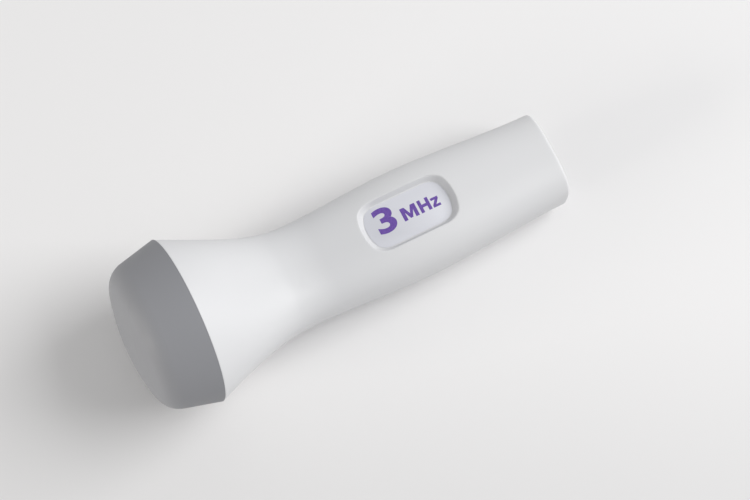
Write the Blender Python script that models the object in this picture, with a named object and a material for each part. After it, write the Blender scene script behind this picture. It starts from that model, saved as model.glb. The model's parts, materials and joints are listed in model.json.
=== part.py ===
"""A hand-held foetal doppler probe: a clamshell handle that flares to a round head.

Lengths are in metres. The handle's frame has +X along the handle from the head to the tail,
+Z out of the labelled face, and its origin below the centre of the housing's rim, on the
handle's axis. The head has a frame of its own, raised and tilted against the handle. The
whole probe hangs on one empty that lays it down on the head's rim and the tail's edge.
"""
import math

import bmesh
import bpy
from mathutils import Matrix, Vector

# Fits
FIT_GAP = 0.0003
SEAL_GAP = 0.00015
PARTING_GAP = 0.0003

# Head and handle, outside
HEAD_RADIUS = 0.0200
CAP_STANDS_PROUD = 0.00015
HEAD_RISE = 0.0072
HEAD_TILT = math.radians(6.1)
FLARE_LENGTH = 0.0280
FLARE_SIDE_SLOPE = 0.40
FLARE_TOP_SLOPE = 0.54
BEND_RUNOUT = 0.0060
NECK_HALF_WIDTH = 0.0114
NECK_HALF_HEIGHT = 0.0095
GRIP_RUN = 0.0290
GRIP_HALF_WIDTH = 0.0128
GRIP_HALF_HEIGHT = 0.0105
TAIL_RUN = 0.0367
TAIL_EDGE_RADIUS = 0.0007
HEAD_SQUARENESS = 2.0
GRIP_SQUARENESS = 3.0

# Moulded wall, joint between the halves, and the spigot that carries the cap
WALL = 0.0020
TONGUE_HEIGHT = 0.0010
TONGUE_THICKNESS = 0.0007
TONGUE_INSET = 0.0003
SPIGOT_LENGTH = 0.0045
SPIGOT_WALL = 0.0024
SPIGOT_CLEARANCE = 0.0003
GROOVE_SETBACK = 0.0013
STEP_DRAFT = 0.00006

# Cap and seal
CAP_WALL = 0.0018
CAP_RIM_THICKNESS = 0.0028
CAP_TAPER = math.radians(14.0)
CAP_CORNER = 0.0061
CAP_CROWN = 0.0016
SEAL_SECTION = 0.0009

# Transducer behind the cap's face
CRYSTAL_MARGIN = 0.0006
CRYSTAL_THICKNESS = 0.0007
DIVIDER_THICKNESS = 0.0010
BACKING_THICKNESS = 0.0022
LEAD_CHANNEL = 0.0026
HOLDER_WALL = 0.0013
HOLDER_WEB = 0.0013
HOLDER_FLANGE_STAND = 0.0016
LEAD_HOLE_RADIUS = 0.0030
SHIELD_THICKNESS = 0.0003
SHIELD_MARGIN = 0.0009
LEAD_DIAMETER = 0.0006
LEAD_SPREAD = 0.0016
LEAD_BEND_STEPS = 7

# Label pocket
POCKET_FROM_NECK = 0.0278
POCKET_LENGTH = 0.0241
POCKET_WIDTH = 0.0125
POCKET_DEPTH = 0.0021
POCKET_BOW = 0.0020
POCKET_CORNER = 0.0026
POCKET_END_DRAFT = 0.0013
POCKET_SIDE_DRAFT = 0.0008
POCKET_WALL = 0.0014
LABEL_THICKNESS = 0.0003

# Jack at the tail
JACK_WIDTH = 0.0122
JACK_HEIGHT = 0.0102
JACK_LENGTH = 0.0154
JACK_LIFT = 0.0010
JACK_SETBACK = 0.0002
JACK_SIDE_ROOM = 0.0030
JACK_TOP_ROOM = 0.0012
PLUG_WIDTH = 0.0098
PLUG_HEIGHT = 0.0066
PLUG_DEPTH = 0.0125
JACK_FLOOR = 0.0017
LATCH_WIDTH = 0.0060
LATCH_DEPTH = 0.0010
CONTACT_COUNT = 6
CONTACT_PITCH = 0.00102
CONTACT_DIAMETER = 0.0004
CONTACT_SLOT_HEIGHT = 0.0011
CONTACT_TAIL_ROOM = 0.0016
CONTACT_SETBACK = 0.0022
CONTACT_BEND = 0.0006
CONTACT_SPRING_RUN = 0.0068
CONTACT_SPRING_DROP = 0.0019

# Circuit board and what stands on it
BOARD_SIDE_GAP = 0.0004
BOARD_THICKNESS = 0.0012
BOARD_MARGIN = 0.0010
ROW_GAP = 0.0010
PAIR_GAP = 0.0006
HEADER_SIZE = (0.0040, 0.0098, 0.0042)
HEADER_WALL = 0.0007
HEADER_PITCH = 0.0021
HEADER_PLUGGED_DEPTH = 0.0020
SHIELD_CAN_SIZE = (0.0100, 0.0112, 0.0030)
SHIELD_CAN_CORNER = 0.0006
COIL_SIZE = (0.0060, 0.0060, 0.0070)
COIL_CORNER = 0.0005
COIL_CORE_RADIUS = 0.0014
COIL_CORE_DEPTH = 0.0008
AMPLIFIER_SIZE = (0.0049, 0.0039, 0.0015)
AMPLIFIER_LEG_REACH = 0.0010
AMPLIFIER_LEG_PITCH = 0.00127
AMPLIFIER_LEG_WIDTH = 0.0004
AMPLIFIER_LEG_THICKNESS = 0.0002
AMPLIFIER_LEG_ROOT = 0.0003
OSCILLATOR_SIZE = (0.0046, 0.0110, 0.0035)
OSCILLATOR_CORNER = 0.0020
ELECTROLYTIC_RADIUS = 0.0020
ELECTROLYTIC_HEIGHT = 0.0054
ELECTROLYTIC_EDGE = 0.0003
CHIP_SIZE = (0.0020, 0.00125, 0.0006)
CHIP_STEP = 0.0030
RIB_THICKNESS = 0.0012
RIB_COUNT = 3

# Screws and their bosses
BOSS_RADIUS = 0.0030
BOARD_HOLE_GAP = 0.0004
SCREW_SHANK_RADIUS = 0.0011
SCREW_HEAD_RADIUS = 0.0019
SCREW_HEAD_HEIGHT = 0.0014
SCREW_HEAD_EDGE = 0.0005
SCREW_POINT_RADIUS = 0.00045
SCREW_ENGAGEMENT = 0.0035
PILOT_SPARE = 0.0010
COUNTERBORE_DEPTH = 0.0026
BOSS_PASSING_GAP = 0.0006
DRIVE_SLOT_LENGTH = 0.0023
DRIVE_SLOT_WIDTH = 0.0005
DRIVE_SLOT_DEPTH = 0.0007

# Facets
ARC_STEPS = 17
ROUND_STEPS = 48
FLARE_STEPS = 9
GRIP_STEPS = 5
TAIL_STEPS = 6
CORNER_STEPS = 5
RIB_STEPS = 8
WIRE_SIDES_RESOLUTION = 2
OVERCUT = 0.0010

# Places that follow from the sizes
NECK_X = FLARE_LENGTH
GRIP_X = NECK_X + GRIP_RUN
BODY_LENGTH = GRIP_X + TAIL_RUN
TAIL_HALF_WIDTH = JACK_WIDTH / 2 + JACK_SIDE_ROOM + WALL
TAIL_HALF_HEIGHT = JACK_HEIGHT / 2 + JACK_LIFT + JACK_TOP_ROOM + WALL
RIM_RADIUS = HEAD_RADIUS - CAP_STANDS_PROUD

CAP_BORE = HEAD_RADIUS - CAP_RIM_THICKNESS
SPIGOT_RADIUS = CAP_BORE - SPIGOT_CLEARANCE
SPIGOT_INSIDE = SPIGOT_RADIUS - SPIGOT_WALL
GROOVE_WIDTH = SEAL_SECTION + 2 * SEAL_GAP
GROOVE_RADIUS = CAP_BORE - SEAL_SECTION - 2 * SEAL_GAP
GROOVE_BACK_X = -GROOVE_SETBACK
GROOVE_FRONT_X = GROOVE_BACK_X - GROOVE_WIDTH

FLANGE_BACK_X = -SPIGOT_LENGTH - FIT_GAP
WEB_BACK_X = FLANGE_BACK_X - HOLDER_FLANGE_STAND
WEB_FRONT_X = WEB_BACK_X - HOLDER_WEB
BACKING_BACK_X = WEB_FRONT_X - FIT_GAP
BACKING_FRONT_X = BACKING_BACK_X - BACKING_THICKNESS
CRYSTAL_BACK_X = BACKING_FRONT_X - FIT_GAP
CRYSTAL_FRONT_X = CRYSTAL_BACK_X - CRYSTAL_THICKNESS
CAP_FLOOR_X = CRYSTAL_FRONT_X - FIT_GAP
CAP_FACE_X = CAP_FLOOR_X - CAP_WALL
CAP_CORNER_X = CAP_FACE_X + CAP_CORNER
CAP_SIDE_END_X = CAP_CORNER_X - CAP_CORNER * math.sin(CAP_TAPER)
CAP_SIDE_END_RADIUS = HEAD_RADIUS + CAP_SIDE_END_X * math.tan(CAP_TAPER)
CAP_FACE_RADIUS = CAP_SIDE_END_RADIUS - CAP_CORNER * math.cos(CAP_TAPER)
CRYSTAL_RADIUS = CAP_FACE_RADIUS - CRYSTAL_MARGIN

JACK_FRONT_X = BODY_LENGTH - JACK_SETBACK
JACK_REAR_X = JACK_FRONT_X - JACK_LENGTH
JACK_BOTTOM = JACK_LIFT - JACK_HEIGHT / 2
JACK_TOP = JACK_LIFT + JACK_HEIGHT / 2
PLUG_BOTTOM = JACK_BOTTOM + JACK_FLOOR
PLUG_TOP = PLUG_BOTTOM + PLUG_HEIGHT
BOARD_TOP = JACK_BOTTOM - FIT_GAP
BOARD_BOTTOM = BOARD_TOP - BOARD_THICKNESS
BOARD_BACK_X = BODY_LENGTH - WALL - FIT_GAP
BOARD_HOLE_RADIUS = BOSS_RADIUS + BOARD_HOLE_GAP
REAR_BOSS_X = JACK_REAR_X - CONTACT_TAIL_ROOM - BOARD_HOLE_RADIUS
ELECTROLYTIC_X = REAR_BOSS_X - BOARD_HOLE_RADIUS - ROW_GAP - ELECTROLYTIC_RADIUS
OSCILLATOR_X = ELECTROLYTIC_X - ELECTROLYTIC_RADIUS - ROW_GAP - OSCILLATOR_SIZE[0] / 2
AMPLIFIER_X = OSCILLATOR_X - OSCILLATOR_SIZE[0] / 2 - ROW_GAP - AMPLIFIER_SIZE[0] / 2
COIL_X = AMPLIFIER_X - AMPLIFIER_SIZE[0] / 2 - ROW_GAP - COIL_SIZE[0] / 2
SHIELD_CAN_X = COIL_X - COIL_SIZE[0] / 2 - ROW_GAP - SHIELD_CAN_SIZE[0] / 2
HEADER_X = SHIELD_CAN_X - SHIELD_CAN_SIZE[0] / 2 - ROW_GAP - HEADER_SIZE[0] / 2
BOARD_FRONT_X = HEADER_X - HEADER_SIZE[0] / 2 - CHIP_SIZE[0] - 2 * BOARD_MARGIN
FRONT_BOSS_X = BOARD_FRONT_X - FIT_GAP - BOSS_RADIUS

WHITE_ABS = ((0.690, 0.693, 0.704), 0.50, 0.0)
GREY_ABS = ((0.285, 0.287, 0.300), 0.36, 0.0)
LABEL_FILM = ((0.672, 0.678, 0.722), 0.42, 0.0)
SEAL_RUBBER = ((0.030, 0.030, 0.032), 0.70, 0.0)
CRYSTAL_SILVER = ((0.780, 0.770, 0.740), 0.35, 1.0)
CORK = ((0.420, 0.270, 0.150), 0.90, 0.0)
BACKING_FOAM = ((0.180, 0.180, 0.190), 0.95, 0.0)
HOLDER_BLACK = ((0.040, 0.040, 0.043), 0.55, 0.0)
COPPER_FOIL = ((0.780, 0.420, 0.270), 0.35, 1.0)
BOARD_GREEN = ((0.020, 0.170, 0.070), 0.50, 0.0)
CHIP_BLACK = ((0.025, 0.025, 0.028), 0.50, 0.0)
CAN_STEEL = ((0.600, 0.600, 0.610), 0.30, 1.0)
HEADER_CREAM = ((0.780, 0.740, 0.640), 0.50, 0.0)
CERAMIC_TAN = ((0.450, 0.330, 0.200), 0.60, 0.0)
CONTACT_GOLD = ((0.850, 0.620, 0.250), 0.25, 1.0)
LEAD_RED = ((0.560, 0.030, 0.030), 0.50, 0.0)
LEAD_BLACK = ((0.020, 0.020, 0.020), 0.50, 0.0)
LEAD_WHITE = ((0.750, 0.750, 0.740), 0.50, 0.0)
LEAD_BLUE = ((0.030, 0.080, 0.400), 0.50, 0.0)
SCREW_STEEL = ((0.550, 0.550, 0.560), 0.35, 1.0)

handle_frame = None
head_frame = None


# Curves of the housing

def hermite(x, knots):
    """Smooth curve through knots of place, value and slope."""
    for (x0, v0, s0), (x1, v1, s1) in zip(knots, knots[1:]):
        if x <= x1:
            break
    run = x1 - x0
    t = min(max((x - x0) / run, 0.0), 1.0)
    keep = 1 - 3 * t**2 + 2 * t**3
    leave = s0 * run * (t - 2 * t**2 + t**3)
    arrive = s1 * run * (t**3 - t**2)
    return v0 * keep + v1 * (1 - keep) + leave + arrive


def tail_edge_drop(x):
    """How far the outline draws in on the rounded edge of the tail."""
    into_edge = max(0.0, x - (BODY_LENGTH - TAIL_EDGE_RADIUS))
    return TAIL_EDGE_RADIUS - math.sqrt(max(0.0, TAIL_EDGE_RADIUS**2 - into_edge**2))


def half_width(x):
    """Half of the housing's width at a distance from the rim."""
    knots = [(0.0, RIM_RADIUS, -FLARE_SIDE_SLOPE), (NECK_X, NECK_HALF_WIDTH, 0.0),
             (GRIP_X, GRIP_HALF_WIDTH, 0.0), (BODY_LENGTH, TAIL_HALF_WIDTH, 0.0)]
    return hermite(x, knots)


def half_height(x):
    """Half of the housing's height at a distance from the rim."""
    knots = [(0.0, RIM_RADIUS, -FLARE_TOP_SLOPE), (NECK_X, NECK_HALF_HEIGHT, 0.0),
             (GRIP_X, GRIP_HALF_HEIGHT, 0.0), (BODY_LENGTH, TAIL_HALF_HEIGHT, 0.0)]
    return hermite(x, knots)


def squareness(x):
    """Exponent of the section: round at the head, a soft square along the grip."""
    return hermite(x, [(0.0, HEAD_SQUARENESS, 0.0), (NECK_X, GRIP_SQUARENESS, 0.0)])


def spine_height(x):
    """Height of the centre line above the handle's axis: it climbs to the head."""
    if x < 0:
        return HEAD_RISE - x * math.sin(HEAD_TILT)
    bend_end = NECK_X + BEND_RUNOUT
    return hermite(x, [(0.0, HEAD_RISE, -math.tan(HEAD_TILT)), (bend_end, 0.0, 0.0)])


def section_tilt(x):
    """Angle that the section at x leans, from the head's tilt to none on the grip."""
    return hermite(x, [(0.0, HEAD_TILT, 0.0), (NECK_X + BEND_RUNOUT, 0.0, 0.0)])


def place_in_section(x, y, z):
    """A point of the section at x, in the handle's frame."""
    tilt = section_tilt(x)
    along = x * math.cos(HEAD_TILT) if x < 0 else x
    return Vector((along + z * math.sin(tilt), y, spine_height(x) + z * math.cos(tilt)))


def inside_half_width(x):
    """Half of the hollow's width: the wall's inner face, or the spigot's bore."""
    if x <= 0:
        return SPIGOT_INSIDE
    return min(half_width(x) - WALL, SPIGOT_INSIDE)


def inside_half_height(x):
    """Half of the hollow's height."""
    if x <= 0:
        return SPIGOT_INSIDE
    return min(half_height(x) - WALL, SPIGOT_INSIDE)


def body_stations(start, end):
    """Places of the sections, closer together on the flare and on the tail's edge."""
    runs = [(0.0, NECK_X, FLARE_STEPS), (NECK_X, GRIP_X, GRIP_STEPS),
            (GRIP_X, BODY_LENGTH - TAIL_EDGE_RADIUS, TAIL_STEPS)]
    places = [first + (last - first) * step / count
              for first, last, count in runs for step in range(count)]
    places.append(BODY_LENGTH - TAIL_EDGE_RADIUS)
    places += [BODY_LENGTH - TAIL_EDGE_RADIUS * (1 - math.sin(math.radians(angle)))
               for angle in (35, 65, 90)]
    inner = [place for place in places if start + FIT_GAP < place < end - FIT_GAP]
    return [start] + inner + [end]


# Sections

def superellipse(half_w, half_h, exponent, angle):
    """A point of a superellipse, as y and z."""
    cosine = math.cos(angle)
    sine = math.sin(angle)
    y = math.copysign(half_w * abs(cosine) ** (2 / exponent), cosine)
    z = math.copysign(half_h * abs(sine) ** (2 / exponent), sine)
    return y, z


def half_arc(half_w, half_h, exponent, side, edge):
    """Half of a section from +Y over the top (side 1) or the bottom (side -1) to -Y."""
    points = [superellipse(half_w, half_h, exponent, math.pi * step / ARC_STEPS)
              for step in range(ARC_STEPS + 1)]
    points = [(y, side * max(z, edge)) for y, z in points]
    return points


def housing_section(x, radius, side):
    """Outline of one half's outside at x, or on the spigot at a radius."""
    if radius:
        return half_arc(radius, radius, HEAD_SQUARENESS, side, PARTING_GAP / 2)
    drop = tail_edge_drop(x)
    return half_arc(half_width(x) - drop, half_height(x) - drop, squareness(x), side, PARTING_GAP / 2)


def hollow_section(x, side, grow=0.0):
    """Outline of one half's hollow at x, carried past the joint, or grown into the wall."""
    half_w = inside_half_width(x) + grow
    arc = half_arc(half_w, inside_half_height(x) + grow, squareness(max(x, 0.0)), side, 0.0)
    return arc + [(-half_w, -side * OVERCUT), (half_w, -side * OVERCUT)]


def add_joint_bars(bm, inset, outset, low, high, start, end):
    """Bars along both walls at the joint, measured from the hollow's sides: tongue or groove."""
    places = body_stations(0.0, end)
    stations = [start] + [(near + far) / 2 for near, far in zip(places, places[1:])] + [end]
    for side in (1, -1):
        rings = []
        for x in stations:
            inner = side * (inside_half_width(x) + inset)
            outer = side * (inside_half_width(x) + outset)
            corners = [(inner, low), (outer, low), (outer, high), (inner, high)]
            rings.append([place_in_section(x, y, z) for y, z in corners])
        add_loft(bm, rings)


# Mesh helpers

def make_material(name, finish):
    """A plain Principled material from colour, roughness and metallic values."""
    material = bpy.data.materials.get(name) or bpy.data.materials.new(name)
    material.use_nodes = True
    shader = material.node_tree.nodes["Principled BSDF"]
    colour, roughness, metallic = finish
    shader.inputs["Base Color"].default_value = (*colour, 1.0)
    shader.inputs["Roughness"].default_value = roughness
    shader.inputs["Metallic"].default_value = metallic
    material.diffuse_color = (*colour, 1.0)
    return material


def add_object(name, bm, parent, finish=None):
    """Turn a bmesh into an object: a piece with a finish, or a cutting tool without one."""
    bmesh.ops.remove_doubles(bm, verts=bm.verts, dist=1e-7)
    bmesh.ops.recalc_face_normals(bm, faces=bm.faces)
    mesh = bpy.data.meshes.new(name)
    bm.to_mesh(mesh)
    bm.free()
    piece = bpy.data.objects.new(name, mesh)
    bpy.context.collection.objects.link(piece)
    piece.parent = parent
    if finish is None:
        piece.hide_render = True
        piece.display_type = "WIRE"
        return piece
    mesh.materials.append(make_material(name, finish))
    mesh.shade_smooth()
    mesh.set_sharp_from_angle(angle=math.radians(35))
    return piece


def apply_tool(piece, tool, operation, solver="EXACT"):
    """Join a tool to a piece, or cut it out of the piece."""
    modifier = piece.modifiers.new(tool.name, "BOOLEAN")
    modifier.operation = operation
    modifier.solver = solver
    modifier.object = tool


def add_loft(bm, rings):
    """Skin closed rings of equal length, cap both ends, and keep every facet flat."""
    loops = [[bm.verts.new(point) for point in ring] for ring in rings]
    skin = []
    for near, far in zip(loops, loops[1:]):
        for index in range(len(near)):
            following = (index + 1) % len(near)
            skin.append(bm.faces.new((near[index], near[following], far[following], far[index])))
    bm.faces.new(reversed(loops[0]))
    bm.faces.new(loops[-1])
    bmesh.ops.triangulate(bm, faces=skin)


def add_box(bm, low, high):
    """A box between two corners."""
    size = Vector(high) - Vector(low)
    middle = (Vector(high) + Vector(low)) / 2
    matrix = Matrix.Translation(middle) @ Matrix.Diagonal((*size, 1.0))
    bmesh.ops.create_cube(bm, size=1.0, matrix=matrix)


def add_standing_box(bm, x, y, bottom, size):
    """A box of the given size that stands on a height, centred on x and y."""
    half_x, half_y = size[0] / 2, size[1] / 2
    add_box(bm, (x - half_x, y - half_y, bottom), (x + half_x, y + half_y, bottom + size[2]))


def add_cylinder(bm, x, y, bottom, top, radius, steps=24):
    """An upright cylinder."""
    matrix = Matrix.Translation((x, y, (bottom + top) / 2))
    bmesh.ops.create_cone(bm, cap_ends=True, segments=steps, radius1=radius, radius2=radius,
                          depth=top - bottom, matrix=matrix)


def add_plate(bm, outline, bottom, top):
    """Extrude an outline of x and y points between two heights."""
    base = bm.faces.new([bm.verts.new((x, y, bottom)) for x, y in outline])
    grown = bmesh.ops.extrude_face_region(bm, geom=[base])
    lifted = [item for item in grown["geom"] if isinstance(item, bmesh.types.BMVert)]
    bmesh.ops.translate(bm, verts=lifted, vec=(0.0, 0.0, top - bottom))


def add_turned(bm, profile, steps=ROUND_STEPS):
    """Spin a profile of x and radius points about the X axis, with a flat facet below."""
    half_step = Matrix.Rotation(math.pi / steps, 3, "X")
    line = [bm.verts.new(half_step @ Vector((x, 0.0, radius))) for x, radius in profile]
    edges = [bm.edges.new(pair) for pair in zip(line, line[1:])]
    if profile[0][1] > 0 and profile[-1][1] > 0:
        edges.append(bm.edges.new((line[-1], line[0])))
    bmesh.ops.spin(bm, geom=line + edges, cent=(0, 0, 0), axis=(1, 0, 0), dvec=(0, 0, 0),
                   angle=math.tau, steps=steps, use_merge=True, use_duplicate=False)


def arc_points(centre_x, centre_r, radius, start, end, steps):
    """Points of an arc in x and radius, from one angle to another, in degrees."""
    angles = [math.radians(start + (end - start) * step / steps) for step in range(steps + 1)]
    return [(centre_x + radius * math.cos(angle), centre_r + radius * math.sin(angle)) for angle in angles]


# Housing halves

def housing_half(name, side):
    """Loft one half of the housing and cut its hollow out of it."""
    spigot = [(-SPIGOT_LENGTH, SPIGOT_RADIUS), (GROOVE_FRONT_X - STEP_DRAFT, SPIGOT_RADIUS),
              (GROOVE_FRONT_X, GROOVE_RADIUS), (GROOVE_BACK_X, GROOVE_RADIUS),
              (GROOVE_BACK_X + STEP_DRAFT, SPIGOT_RADIUS), (-STEP_DRAFT, SPIGOT_RADIUS)]
    stations = spigot + [(x, None) for x in body_stations(0.0, BODY_LENGTH)]
    bm = bmesh.new()
    add_loft(bm, [[place_in_section(x, y, z) for y, z in housing_section(x, radius, side)]
                  for x, radius in stations])
    half = add_object(name, bm, handle_frame, WHITE_ABS)

    hollow = [-SPIGOT_LENGTH - OVERCUT] + body_stations(0.0, BODY_LENGTH - WALL)
    bm = bmesh.new()
    add_loft(bm, [[place_in_section(x, y, z) for y, z in hollow_section(x, side)] for x in hollow])
    apply_tool(half, add_object(name + "_hollow", bm, handle_frame), "DIFFERENCE")
    return half


def pocket_outline(length, width, corner):
    """Outline of the label pocket: straight sides, rounded corners and bowed ends."""
    centre = NECK_X + POCKET_FROM_NECK
    half = width / 2
    side_end = length / 2 - POCKET_BOW
    bow_radius = (half**2 + POCKET_BOW**2) / (2 * POCKET_BOW)
    bow_angle = math.asin((half - corner) / bow_radius)
    quarter = []
    for step in range(CORNER_STEPS + 1):
        angle = bow_angle * step / CORNER_STEPS
        x = length / 2 - bow_radius * (1 - math.cos(angle))
        quarter.append(Vector((x, bow_radius * math.sin(angle))))
    bow_end = quarter[-1]
    crown = Vector((side_end, half))
    side_start = Vector((side_end - corner, half))
    for step in range(1, CORNER_STEPS + 1):
        t = step / CORNER_STEPS
        quarter.append(bow_end * (1 - t) ** 2 + crown * 2 * t * (1 - t) + side_start * t**2)
    right = [(point.x, -point.y) for point in reversed(quarter[1:])] + [tuple(point) for point in quarter]
    left = [(-x, -y) for x, y in right]
    return [(centre + x, y) for x, y in right + left]


def pocket_levels():
    """Heights of the housing's top at the pocket and of the pocket's floor."""
    top = half_height(NECK_X + POCKET_FROM_NECK)
    return top, top - POCKET_DEPTH


def pocket_floor_outline(inset):
    """Outline of the pocket's floor, drawn in by the drafts of its walls."""
    length = POCKET_LENGTH - 2 * POCKET_END_DRAFT - 2 * inset
    width = POCKET_WIDTH - 2 * POCKET_SIDE_DRAFT - 2 * inset
    return pocket_outline(length, width, POCKET_CORNER - POCKET_SIDE_DRAFT / 2)


def add_label_pocket(housing):
    """Back the pocket with a pad of its own wall thickness and sink the pocket into it."""
    top, floor = pocket_levels()
    bm = bmesh.new()
    add_plate(bm, pocket_floor_outline(-POCKET_WALL), floor - POCKET_WALL, top - WALL / 2)
    apply_tool(housing, add_object("label_pocket_pad", bm, handle_frame), "UNION", "MANIFOLD")

    mouth = pocket_outline(POCKET_LENGTH, POCKET_WIDTH, POCKET_CORNER)
    spread_end = POCKET_END_DRAFT / POCKET_DEPTH * OVERCUT
    spread_side = POCKET_SIDE_DRAFT / POCKET_DEPTH * OVERCUT
    above = pocket_outline(POCKET_LENGTH + 2 * spread_end, POCKET_WIDTH + 2 * spread_side, POCKET_CORNER)
    rings = [[Vector((x, y, z)) for x, y in outline]
             for outline, z in ((pocket_floor_outline(0.0), floor), (mouth, top), (above, top + OVERCUT))]
    bm = bmesh.new()
    add_loft(bm, rings)
    apply_tool(housing, add_object("label_pocket_cutter", bm, handle_frame), "DIFFERENCE", "MANIFOLD")


def counterbore_seat(x):
    """Height of the shoulder that a screw's head seats on."""
    return spine_height(x) - half_height(x) + COUNTERBORE_DEPTH


def add_bosses(housing, side):
    """Screw bosses that stand at the joint and end in the middle of the wall, whatever its slope."""
    bosses = bmesh.new()
    for x in (FRONT_BOSS_X, REAR_BOSS_X):
        joint = spine_height(x)
        reach = half_height(x - BOSS_RADIUS) + OVERCUT
        ends = sorted((joint + side * PARTING_GAP / 2, joint + side * reach))
        add_cylinder(bosses, x, 0.0, *ends, BOSS_RADIUS)
    trimmed = add_object(housing.name + "_bosses", bosses, handle_frame)
    core = bmesh.new()
    places = body_stations(FRONT_BOSS_X - 2 * BOSS_RADIUS, REAR_BOSS_X + 2 * BOSS_RADIUS)
    add_loft(core, [[place_in_section(x, y, z) for y, z in hollow_section(x, side, WALL / 2)]
                    for x in places])
    apply_tool(trimmed, add_object(housing.name + "_boss_trim", core, handle_frame), "INTERSECT")
    apply_tool(housing, trimmed, "UNION", "MANIFOLD")


def add_upper_details(housing):
    """Groove for the tongue, screw bosses with blind pilot holes, and the window for the jack."""
    groove = bmesh.new()
    start = -SPIGOT_LENGTH - OVERCUT
    end = BODY_LENGTH - WALL + FIT_GAP
    outset = TONGUE_INSET + TONGUE_THICKNESS + FIT_GAP
    add_joint_bars(groove, -OVERCUT, outset, -OVERCUT, TONGUE_HEIGHT + FIT_GAP, start, end)
    apply_tool(housing, add_object("joint_groove", groove, handle_frame), "DIFFERENCE", "MANIFOLD")
    add_bosses(housing, 1)
    holes = bmesh.new()
    for x in (FRONT_BOSS_X, REAR_BOSS_X):
        joint = spine_height(x)
        add_cylinder(holes, x, 0.0, joint - OVERCUT, joint + SCREW_ENGAGEMENT + PILOT_SPARE,
                     SCREW_SHANK_RADIUS + FIT_GAP, 16)
    add_jack_window(holes)
    apply_tool(housing, add_object("upper_holes", holes, handle_frame), "DIFFERENCE", "MANIFOLD")


def add_lower_details(housing):
    """Tongue, screw bosses, counterbores, ribs under the board, and the window for the jack."""
    tongue = bmesh.new()
    start = -SPIGOT_LENGTH + FIT_GAP
    end = BODY_LENGTH - WALL - FIT_GAP
    outset = TONGUE_INSET + TONGUE_THICKNESS
    add_joint_bars(tongue, TONGUE_INSET, outset, -OVERCUT, TONGUE_HEIGHT, start, end)
    apply_tool(housing, add_object("joint_tongue", tongue, handle_frame), "UNION", "MANIFOLD")
    add_bosses(housing, -1)
    holes = bmesh.new()
    for x in (FRONT_BOSS_X, REAR_BOSS_X):
        joint = spine_height(x)
        underside = joint - half_height(x)
        add_cylinder(holes, x, 0.0, counterbore_seat(x) - OVERCUT / 2, joint + OVERCUT,
                     SCREW_SHANK_RADIUS + FIT_GAP, 16)
        add_cylinder(holes, x, 0.0, underside - OVERCUT, counterbore_seat(x), SCREW_HEAD_RADIUS + FIT_GAP)
    add_jack_window(holes)
    apply_tool(housing, add_object("board_ribs", board_rib_mesh(), handle_frame), "UNION", "MANIFOLD")
    apply_tool(housing, add_object("lower_holes", holes, handle_frame), "DIFFERENCE", "MANIFOLD")


def add_jack_window(bm):
    """A block that opens the tail's wall round the jack."""
    half = JACK_WIDTH / 2 + FIT_GAP
    add_box(bm, (BODY_LENGTH - WALL - OVERCUT, -half, JACK_BOTTOM - FIT_GAP),
            (BODY_LENGTH + OVERCUT, half, JACK_TOP + FIT_GAP))


def board_rib_mesh():
    """Cross ribs that grow out of the lower half's floor up to the board."""
    bm = bmesh.new()
    first = BOARD_FRONT_X + BOARD_MARGIN + RIB_THICKNESS
    last = JACK_REAR_X + BOARD_MARGIN
    for index in range(RIB_COUNT):
        x = first + (last - first) * index / (RIB_COUNT - 1)
        add_loft(bm, [rib_section(place) for place in (x, x + RIB_THICKNESS)])
    return bm


def rib_section(x):
    """A rib's outline: rooted halfway into the wall, cut off level under the board."""
    half_w = half_width(x) - WALL / 2
    half_h = half_height(x) - WALL / 2
    depth = spine_height(x) - (BOARD_BOTTOM - FIT_GAP)
    start = math.asin((depth / half_h) ** (squareness(x) / 2))
    angles = [start + (math.pi - 2 * start) * step / RIB_STEPS for step in range(RIB_STEPS + 1)]
    arc = [superellipse(half_w, half_h, squareness(x), -angle) for angle in angles]
    return [place_in_section(x, y, z) for y, z in arc]


# Head

def cap_inside_radius(x):
    """Radius of the cap's inner wall along its tapered side."""
    return HEAD_RADIUS + x * math.tan(CAP_TAPER) - CAP_WALL / math.cos(CAP_TAPER)


def cap_profile():
    """Half section of the cap, from the face's centre round the rim to the floor's centre."""
    reach = CAP_CORNER + CAP_CROWN
    crown_radius = (reach**2 + CAP_FACE_RADIUS**2 - CAP_CORNER**2) / (2 * CAP_CROWN)
    crown_angle = math.degrees(math.asin(CAP_FACE_RADIUS / (crown_radius - CAP_CORNER)))
    crown_end = 180 - crown_angle
    crown_centre = CAP_FACE_X - CAP_CROWN + crown_radius
    crown = arc_points(crown_centre, 0.0, crown_radius, 180, crown_end, CORNER_STEPS)[:-1]
    sweep_end = 90 + math.degrees(CAP_TAPER)
    corner = arc_points(CAP_CORNER_X, CAP_FACE_RADIUS, CAP_CORNER, crown_end, sweep_end, CORNER_STEPS + 2)
    inner_corner = arc_points(CAP_CORNER_X, CAP_FACE_RADIUS, CAP_CORNER - CAP_WALL, sweep_end, 180,
                              CORNER_STEPS)
    stop_x = -SPIGOT_LENGTH - FIT_GAP / 2
    rim = [(-FIT_GAP, HEAD_RADIUS), (-FIT_GAP, CAP_BORE), (stop_x, CAP_BORE),
           (stop_x, cap_inside_radius(stop_x))]
    return crown + corner + rim + inner_corner + [(CAP_FLOOR_X, 0.0)]


def make_head_cap():
    """The grey cup that is the probe's face: tapered sides, a large corner, a crowned face."""
    bm = bmesh.new()
    add_turned(bm, cap_profile())
    add_object("head_cap", bm, head_frame, GREY_ABS)


def make_cap_seal():
    """Rubber ring in the spigot's groove."""
    middle_x = (GROOVE_FRONT_X + GROOVE_BACK_X) / 2
    middle_radius = CAP_BORE - SEAL_GAP - SEAL_SECTION / 2
    ring = arc_points(middle_x, middle_radius, SEAL_SECTION / 2, 0, 360, 8)[:-1]
    bm = bmesh.new()
    add_turned(bm, ring)
    add_object("cap_seal_ring", bm, head_frame, SEAL_RUBBER)


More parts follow.
